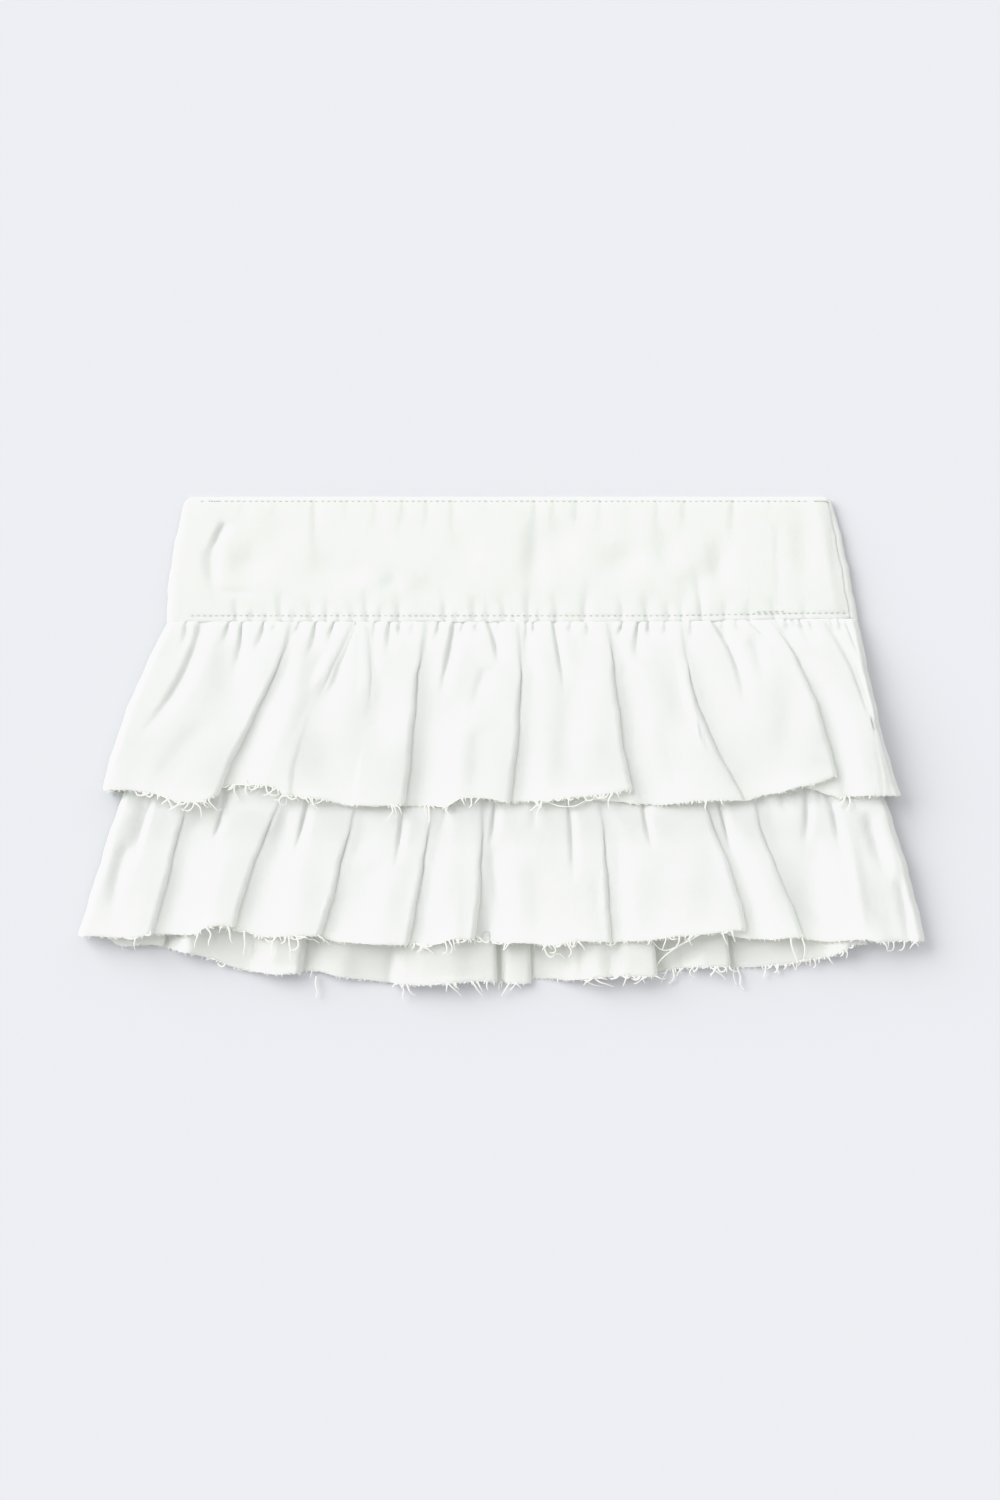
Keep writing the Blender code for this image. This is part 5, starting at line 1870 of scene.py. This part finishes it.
@dataclass(frozen=True)
class RawHem:
    """The frayed edge of a ruffle: curly threads in tufts, a few long ones, and short fuzz.

    Attributes:
        node: the CAD node that it stands for.
        tufts: its tufts of threads.
        long_threads: the places (x, y) that a few long threads run through.
        fuzz: how many short ends there are in each mm.
        thickness: a thread's thickness.
        arch: how far a thread bows up on its way.
        step: the distance between two points of a thread.
        sides: how many sides a thread has.
        lie: how high above the cloth a thread lies.
        stiffness: the length over which a thread keeps most of the hem's height.
        full_arch: the length from which a thread bows up fully.
        swing: how far a thread's start turns away from straight down, in radians.
        bend: how much it bends one way for each mm, in radians.
        wave: how much it bends to and fro.
        pace: how quickly it does.
        phase: where it starts to.
        inset: how far inside the hem it is rooted.
        taper: the share of its thickness that is left at its end.
        stagger: where in its own stretch of a tuft a thread starts.
        lengths: the square root of a thread's length beside the tuft's longest.
        widths: its thickness beside the usual one.
        drawn_width: the same for a long thread.
        fineness: how many points a long thread has for each of its places.
        fuzz_length: how long the short ends are.
        fuzz_width: their thickness beside the usual one.
        fuzz_rise: how far above and below the hem's middle they start.
        fuzz_margin: how far inside the hem's ends they start.
    """

    node: str
    tufts: tuple[Tuft, ...]
    long_threads: tuple[tuple[Point, ...], ...] = ()
    fuzz: float = 0.5
    thickness: float = 1.1
    arch: float = 1.1
    step: float = 0.55
    sides: int = 5
    lie: float = 0.8
    stiffness: float = 22.0
    full_arch: float = 6.0
    swing: float = 0.8
    bend: float = 0.2
    wave: Point = (0.05, 0.36)
    pace: Point = (0.4, 1.0)
    phase: Point = (0, 6.3)
    inset: float = 0.5
    taper: float = 0.55
    stagger: Point = (0.1, 0.9)
    lengths: Point = (0.4, 1.35)
    widths: Point = (0.7, 1.1)
    drawn_width: float = 0.9
    fineness: int = 8
    fuzz_length: Point = (1.2, 2.8)
    fuzz_width: float = 0.5
    fuzz_rise: float = 0.4
    fuzz_margin: float = 2.0

    def hem_at(self, edge: Array, x: float) -> Array:
        """The hem's highest point at x."""
        crossing = (edge[:-1, 0] <= x) & (edge[1:, 0] > x)
        found = edge[:-1][crossing]
        return found[np.argmax(found[:, 2])] if len(found) else edge[np.argmin(np.abs(edge[:, 0] - x))]

    def laid(self, path: Array, root: float, ground: Ground) -> Array:
        """Gives a thread its height: from the hem down onto what it lies on."""
        steps = np.linalg.norm(np.diff(path[:, :2], axis=0), axis=1)
        gone = np.concatenate([[0], np.cumsum(steps)])
        rest = ground.at(path[:, 0], path[:, 1]) + self.thickness / 2 + self.lie
        way = np.clip(gone / (gone[-1] + TINY), 0, 1)
        bow = self.arch * np.sin(math.pi * way) * min(1.0, gone[-1] / self.full_arch)
        path[:, 2] = np.maximum(rest, mix(rest, root, np.exp(-gone / self.stiffness))) + bow
        path[:, 2] = np.convolve(np.pad(path[:, 2], 2, mode="edge"), np.ones(5) / 5, mode="valid")
        path[0, 2] = root
        return path

    def curly(self, root: Array, length: float, ground: Ground, chance: random.Random) -> Array:
        """A curly thread that starts at a point of the hem."""
        count = max(4, int(length / self.step))
        heading = -math.pi / 2 + chance.gauss(0, self.swing)
        bend, wave = chance.gauss(0, self.bend), chance.uniform(*self.wave)
        pace, phase = chance.uniform(*self.pace), chance.uniform(*self.phase)
        path = np.zeros((count, 3))
        path[0] = root
        path[0, 1] += self.inset
        for i in range(1, count):
            heading += (bend + wave * math.sin(pace * i * self.step + phase)) * self.step
            path[i] = path[i - 1] + (self.step * math.cos(heading), self.step * math.sin(heading), 0)
        return self.laid(path, root[2], ground)

    def drawn(self, places: tuple[Point, ...], edge: Array, ground: Ground) -> Array:
        """A long thread through given places."""
        control = np.array([(x, y, 0.0) for x, y in places])
        path = spline_weights(len(control), self.fineness) @ control
        return self.laid(path, float(self.hem_at(edge, places[0][0])[2]), ground)

    def build(self, grid: Grid, ground: Ground) -> None:
        """Makes the piece.

        Args:
            grid: the ruffle's middle.
            ground: what the threads lie on.
        """
        chance = random.Random(self.node)
        edge = grid.points[-1]
        parts = []
        for tuft in self.tufts:
            for number in range(tuft.threads):
                x = mix(tuft.start, tuft.end, (number + chance.uniform(*self.stagger)) / tuft.threads)
                length = tuft.longest * chance.uniform(*self.lengths) ** 2
                path = self.curly(self.hem_at(edge, x).copy(), length, ground, chance)
                parts.append(self.thread(path, self.thickness * chance.uniform(*self.widths)))
        for places in self.long_threads:
            parts.append(self.thread(self.drawn(places, edge, ground), self.drawn_width * self.thickness))
        left, right = edge[:, 0].min(), edge[:, 0].max()
        for _ in range(int(self.fuzz * (right - left))):
            x = chance.uniform(left + self.fuzz_margin, right - self.fuzz_margin)
            root = self.hem_at(edge, x).copy()
            root[2] += chance.uniform(-self.fuzz_rise, self.fuzz_rise)
            path = self.curly(root, chance.uniform(*self.fuzz_length), ground, chance)
            parts.append(self.thread(path, self.fuzz_width * self.thickness))
        piece = joined(self.node.replace("fray", "loose_threads"), parts, THREAD.material())
        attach(piece, BODY)
        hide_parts(self.node)
        report(piece)

    def thread(self, path: Array, thickness: float) -> tuple[Array, Array]:
        """A tapering thread along a path."""
        radii = thickness / 2 * np.linspace(1.0, self.taper, len(path))
        return tube(path, radii, self.sides)


RAW_HEMS = {
    "upper_front": RawHem(
        "upper_front_fray",
        table(
            Tuft,
            (-206, -166, 18, 7), (-158, -118, 21, 8), (-116, -100, 8, 6), (-66, -58, 5, 5),
            (-45, -12, 15, 7), (0, 8, 4, 5), (16, 78, 26, 7), (97, 130, 6, 5), (196, 202, 4, 6),
        ),
        (((16.8, -39.2), (22.0, -34.4), (27.8, -33.9), (31.6, -36.4), (38.4, -37.0), (44.1, -36.4),
          (48.0, -33.0), (55.7, -32.0), (66.3, -31.6), (72.0, -29.1)),
         ((-158.0, -26.5), (-154.0, -23.5), (-148.0, -24.2), (-140.0, -26.0), (-133.0, -24.8)),
         ((-64.0, -35.5), (-62.0, -39.5), (-64.5, -42.0), (-66.0, -45.0))),
    ),
    "upper_back": RawHem(
        "upper_back_fray",
        table(
            Tuft,
            (-215, -180, 8, 4), (-160, -125, 8, 4), (-50, -8, 8, 4), (75, 110, 8, 4), (182, 215, 6, 4),
        ),
    ),
    "lower_front": RawHem(
        "lower_front_fray",
        table(
            Tuft,
            (-218, -205, 6, 6), (-178, -157, 10, 7), (-155, -112, 18, 9), (-107, -103, 2, 6),
            (-52, -40, 10, 7), (-36, -13, 15, 7), (-8, 8, 11, 6), (24, 46, 11, 7), (62, 69, 4, 8),
            (86, 116, 11, 9), (128, 142, 6, 6), (156, 160, 2, 6), (219, 242, 10, 6),
        ),
        (((114.4, -111.0), (100.9, -119.1), (92.3, -121.5), (87.4, -114.5)),
         ((113.4, -111.4), (98.9, -119.5), (92.3, -125.8), (90.2, -129.2)),
         ((24.4, -116.6), (25.8, -122.4), (28.7, -124.9), (30.7, -122.4), (33.6, -121.5), (36.9, -125.4)),
         ((167.5, -113.0), (168.5, -120.0), (172.0, -126.5), (171.0, -131.5)),
         ((174.0, -112.8), (176.5, -119.0), (175.0, -126.0)),
         ((-130.0, -111.5), (-134.0, -117.0), (-132.0, -122.0), (-135.5, -126.0))),
    ),
    "lower_back": RawHem(
        "lower_back_fray",
        table(
            Tuft,
            (-168, -160, 5, 6), (-120, -104, 4, 6), (-62, -54, 5, 7), (-36, 18, 13, 6), (49, 60, 8, 8),
            (66, 92, 14, 6), (95, 133, 18, 7), (151, 163, 6, 6), (164, 208, 26, 4),
        ),
        (((-107.6, -135.5), (-108.5, -140.5), (-106.5, -144.5), (-107.8, -147.8)),
         ((137.0, -130.5), (139.5, -136.0), (138.0, -140.5), (141.2, -143.4)),
         ((135.4, -130.5), (134.4, -135.5), (136.6, -140.4)),
         ((-31.5, -138.9), (-28.5, -141.8), (-25.5, -144.2), (-23.2, -146.8)),
         ((-27.0, -138.8), (-26.4, -141.0), (-24.6, -143.2)),
         ((-16.8, -138.4), (-15.0, -141.5), (-13.2, -144.2), (-11.0, -146.6)),
         ((-14.0, -138.5), (-12.5, -141.5), (-10.8, -144.5)),
         ((-8.4, -138.5), (-8.6, -141.0), (-8.0, -143.5)),
         ((-0.9, -138.8), (-1.6, -141.0), (-1.4, -143.2)),
         ((5.2, -138.9), (3.4, -141.5), (1.6, -144.2), (0.2, -147.0)),
         ((8.6, -139.0), (7.2, -141.5), (5.0, -143.6)),
         ((47.3, -137.0), (51.5, -139.5), (55.0, -141.0), (59.0, -141.2))),
    ),
}


# Room


@dataclass(frozen=True)
class Room:
    """The floor, the light and the camera.

    Attributes:
        camera_x: x of the camera, straight above the skirt.
        camera_y: y of the camera.
        camera_height: how far it is above the ruffles' middle.
        middle_z: z of the ruffles' middle.
        frame_height: what the long side of the frame shows there.
        sensor: the sensor's long side.
        key: the strength of the key light.
        key_spread: how wide the key light is, in degrees.
        key_azimuth: where it comes from, in degrees from -X towards +Y.
        key_elevation: how high it stands, in degrees.
        key_tint: its colour.
        fill: the strength of the light from all round.
        fill_tint: its colour.
        floor_size: the floor's side.
        tone: how the picture takes light, as (light, shown); the brightest whites are held back.
        clip: how near and how far the camera sees, in metres.
        bounces: how often light goes on from cloth to cloth, which matters in the folds of white cloth.
    """

    camera_x: float = -0.87
    camera_y: float = -4.06
    camera_height: float = 2400.0
    middle_z: float = 8.0
    frame_height: float = 870.0
    sensor: float = 36.0
    key: float = 2.85
    key_spread: float = 48.0
    key_azimuth: float = 33.0
    key_elevation: float = 27.0
    key_tint: tuple[float, float, float] = (0.987, 0.995, 1.0)
    fill: float = 0.745
    fill_tint: tuple[float, float, float] = (1.0, 0.995, 0.982)
    floor_size: float = 6000.0
    tone: tuple[Point, ...] = (
        (0.4, 0.4), (0.7, 0.705), (0.85, 0.855), (0.93, 0.922), (1.05, 0.944), (1.25, 0.957), (1.6, 0.97),
    )
    clip: Point = (0.1, 20.0)
    bounces: int = 12

    def floor(self) -> None:
        """Lays the floor."""
        half = self.floor_size / 2
        corners = np.array([(-half, -half, 0), (half, -half, 0), (half, half, 0), (-half, half, 0)], float)
        plane = mesh_object("floor", corners, np.array([[0, 1, 2, 3]]), FLOOR.material())

    def light(self) -> None:
        """Sets a soft sun for the key light and an even sky for the rest."""
        azimuth, elevation = math.radians(self.key_azimuth), math.radians(self.key_elevation)
        towards = Vector((-math.cos(azimuth), math.sin(azimuth), 0)) * math.cos(elevation)
        towards.z = math.sin(elevation)
        lamp = bpy.data.lights.new("key", "SUN")
        lamp.energy = self.key
        lamp.angle = math.radians(self.key_spread)
        lamp.color = self.key_tint
        sun = bpy.data.objects.new("key", lamp)
        sun.rotation_euler = towards.to_track_quat("Z", "Y").to_euler()
        bpy.context.scene.collection.objects.link(sun)
        world = bpy.data.worlds.new("studio")
        world.use_nodes = True
        sky = world.node_tree.nodes["Background"]
        sky.inputs["Color"].default_value = (*self.fill_tint, 1.0)
        sky.inputs["Strength"].default_value = self.fill
        bpy.context.scene.world = world

    def camera(self) -> None:
        """Hangs the camera straight above the skirt."""
        data = bpy.data.cameras.new("camera")
        data.sensor_width = self.sensor
        data.lens = self.sensor * self.camera_height / self.frame_height
        data.clip_start, data.clip_end = self.clip
        hung = bpy.data.objects.new("camera", data)
        height = self.middle_z + self.camera_height
        hung.location = Vector((self.camera_x, self.camera_y, height)) * MM
        bpy.context.scene.collection.objects.link(hung)
        bpy.context.scene.camera = hung

    def build(self) -> None:
        """Sets up the room and the plain view transform that a white object needs."""
        self.camera()
        self.floor()
        self.light()
        bpy.context.scene.cycles.diffuse_bounces = self.bounces
        view = bpy.context.scene.view_settings
        view.view_transform = "Standard"
        view.look = "None"
        view.use_curve_mapping = True
        mapping = view.curve_mapping
        mapping.clip_max_x = self.tone[-1][0]
        curve = mapping.curves[3]
        curve.points[-1].location = self.tone[-1]
        for place in self.tone[:-1]:
            curve.points.new(*place)
        mapping.update()


YOKE = Yoke(
    puckers=tuple(
        Gather(x, reach, depth, drift, width=1.3)
        for x, reach, depth, drift in (
            (-154.0, 0.3, 0.7, 1.0), (-145.3, 0.2, 0.5, 0.0), (-137.0, 0.2, 0.5, 0.5),
            (-127.9, 0.35, 0.8, -1.5), (-121.0, 0.18, 0.5, 0.0), (-86.6, 0.25, 0.6, 0.5),
            (-110.5, 0.25, 0.6, 0.5), (-101.8, 0.3, 0.8, 1.0), (-94.8, 0.2, 0.6, 0.0),
            (-78.0, 0.35, 0.8, -1.0), (-70.5, 0.22, 0.6, 0.5), (-60.0, 0.3, 0.8, 1.5),
            (-32.8, 0.35, 0.9, -1.0), (-26.4, 0.22, 0.6, 0.0), (-16.0, 0.3, 0.8, 0.5),
            (-8.4, 0.25, 0.6, 0.0), (1.5, 0.32, 0.8, -0.5), (6.7, 0.2, 0.6, 0.5),
            (15.4, 0.35, 0.9, 1.0), (21.8, 0.25, 0.7, 0.0), (31.6, 0.3, 0.8, -1.0),
            (47.3, 0.4, 0.8, 4.0), (69.3, 0.3, 0.7, 0.5), (84.4, 0.3, 0.8, -1.0),
            (96.6, 0.25, 0.7, 0.5), (104.1, 0.3, 0.7, 0.0), (115.7, 0.6, 0.9, -1.5),
            (129.6, 0.3, 0.6, 0.5), (143.0, 0.22, 0.5, 0.0), (158.0, 0.25, 0.6, 0.0),
            (176.0, 0.25, 0.5, -1.0),
        )
    ),
    tucks=tuple(
        Gather(x, reach, depth, drift, width=1.7)
        for x, reach, depth, drift in (
            (-150.0, 0.3, 0.35, 0.5), (-130.0, 0.25, 0.3, 0.0), (-108.8, 0.7, 0.6, 2.0),
            (-90.0, 0.3, 0.3, 0.0), (-72.8, 0.45, 0.5, 1.0), (-56.6, 0.4, 0.5, -1.0),
            (-43.2, 0.45, 0.5, 0.5), (-28.1, 0.5, 0.5, 1.0), (-8.0, 0.3, 0.3, 0.0),
            (19.4, 0.5, 0.5, 1.0), (30.5, 0.4, 0.5, 0.0), (43.8, 0.45, 0.5, -1.0),
            (57.1, 0.5, 0.5, 1.0), (74.0, 0.3, 0.3, 0.0), (90.8, 0.45, 0.5, 0.5),
            (106.4, 0.5, 0.5, -1.0), (134.3, 0.55, 0.6, 1.0), (156.0, 0.3, 0.3, 0.0),
        )
    ),
    dents=table(
        Dent,
        (-146.5, 104.5, 1.6, 11.0, 10.0), (19.4, 108.0, 1.7, 7.0, 17.0), (34.0, 118.0, 1.3, 9.0, 11.0),
        (73.0, 106.0, 1.7, 11.0, 10.0), (96.0, 114.0, 1.2, 8.0, 14.0), (126.7, 103.2, 1.7, 7.0, 13.0),
        (-100.0, 100.0, 1.2, 14.0, 12.0), (-45.0, 88.0, 1.0, 12.0, 9.0),
        (-128.0, 122.0, 0.4, 13.0, 8.0), (-20.0, 112.0, 0.9, 10.0, 12.0), (110.0, 92.0, 1.1, 9.0, 8.0),
        (176.0, 112.0, 0.9, 7.0, 22.0), (-155.0, 87.5, 0.6, 10.0, 2.6), (-84.0, 101.0, 1.0, 8.0, 8.0),
        (-63.0, 93.0, 0.9, 6.0, 6.0),
    ),
    folds=table(
        Crease,
        ((130.0, -160.3), (118.0, -165.9), (110.5, -168.5), 2.0, 1.8, 4.2),
        ((117.0, -166.5), (101.0, -168.6), (84.0, -163.5), 1.3, 4.0, 4.5),
        ((134.0, 160.0), (100.0, 160.0), (75.0, 160.5), 0.35, 1.8, 3.5),
    ),
)


def main() -> None:
    """Builds the room and every piece of the skirt."""
    logging.basicConfig(level=logging.INFO, format="%(message)s", stream=sys.stdout)
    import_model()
    Room().build()
    YOKE.build()
    Base().build()
    grids = {
        "upper_back": UPPER_BACK.build(),
        "lower_back": LOWER_BACK.build(),
        "lower_front": LOWER_FRONT.build(),
        "upper_front": UPPER_FRONT.build(),
    }
    beneath = {
        "upper_back": (),
        "lower_back": (),
        "lower_front": (grids["lower_back"],),
        "upper_front": (grids["lower_back"], grids["lower_front"]),
    }
    for name, hem in RAW_HEMS.items():
        hem.build(grids[name], Ground(beneath[name]))


if __name__ == "__main__":
    main()
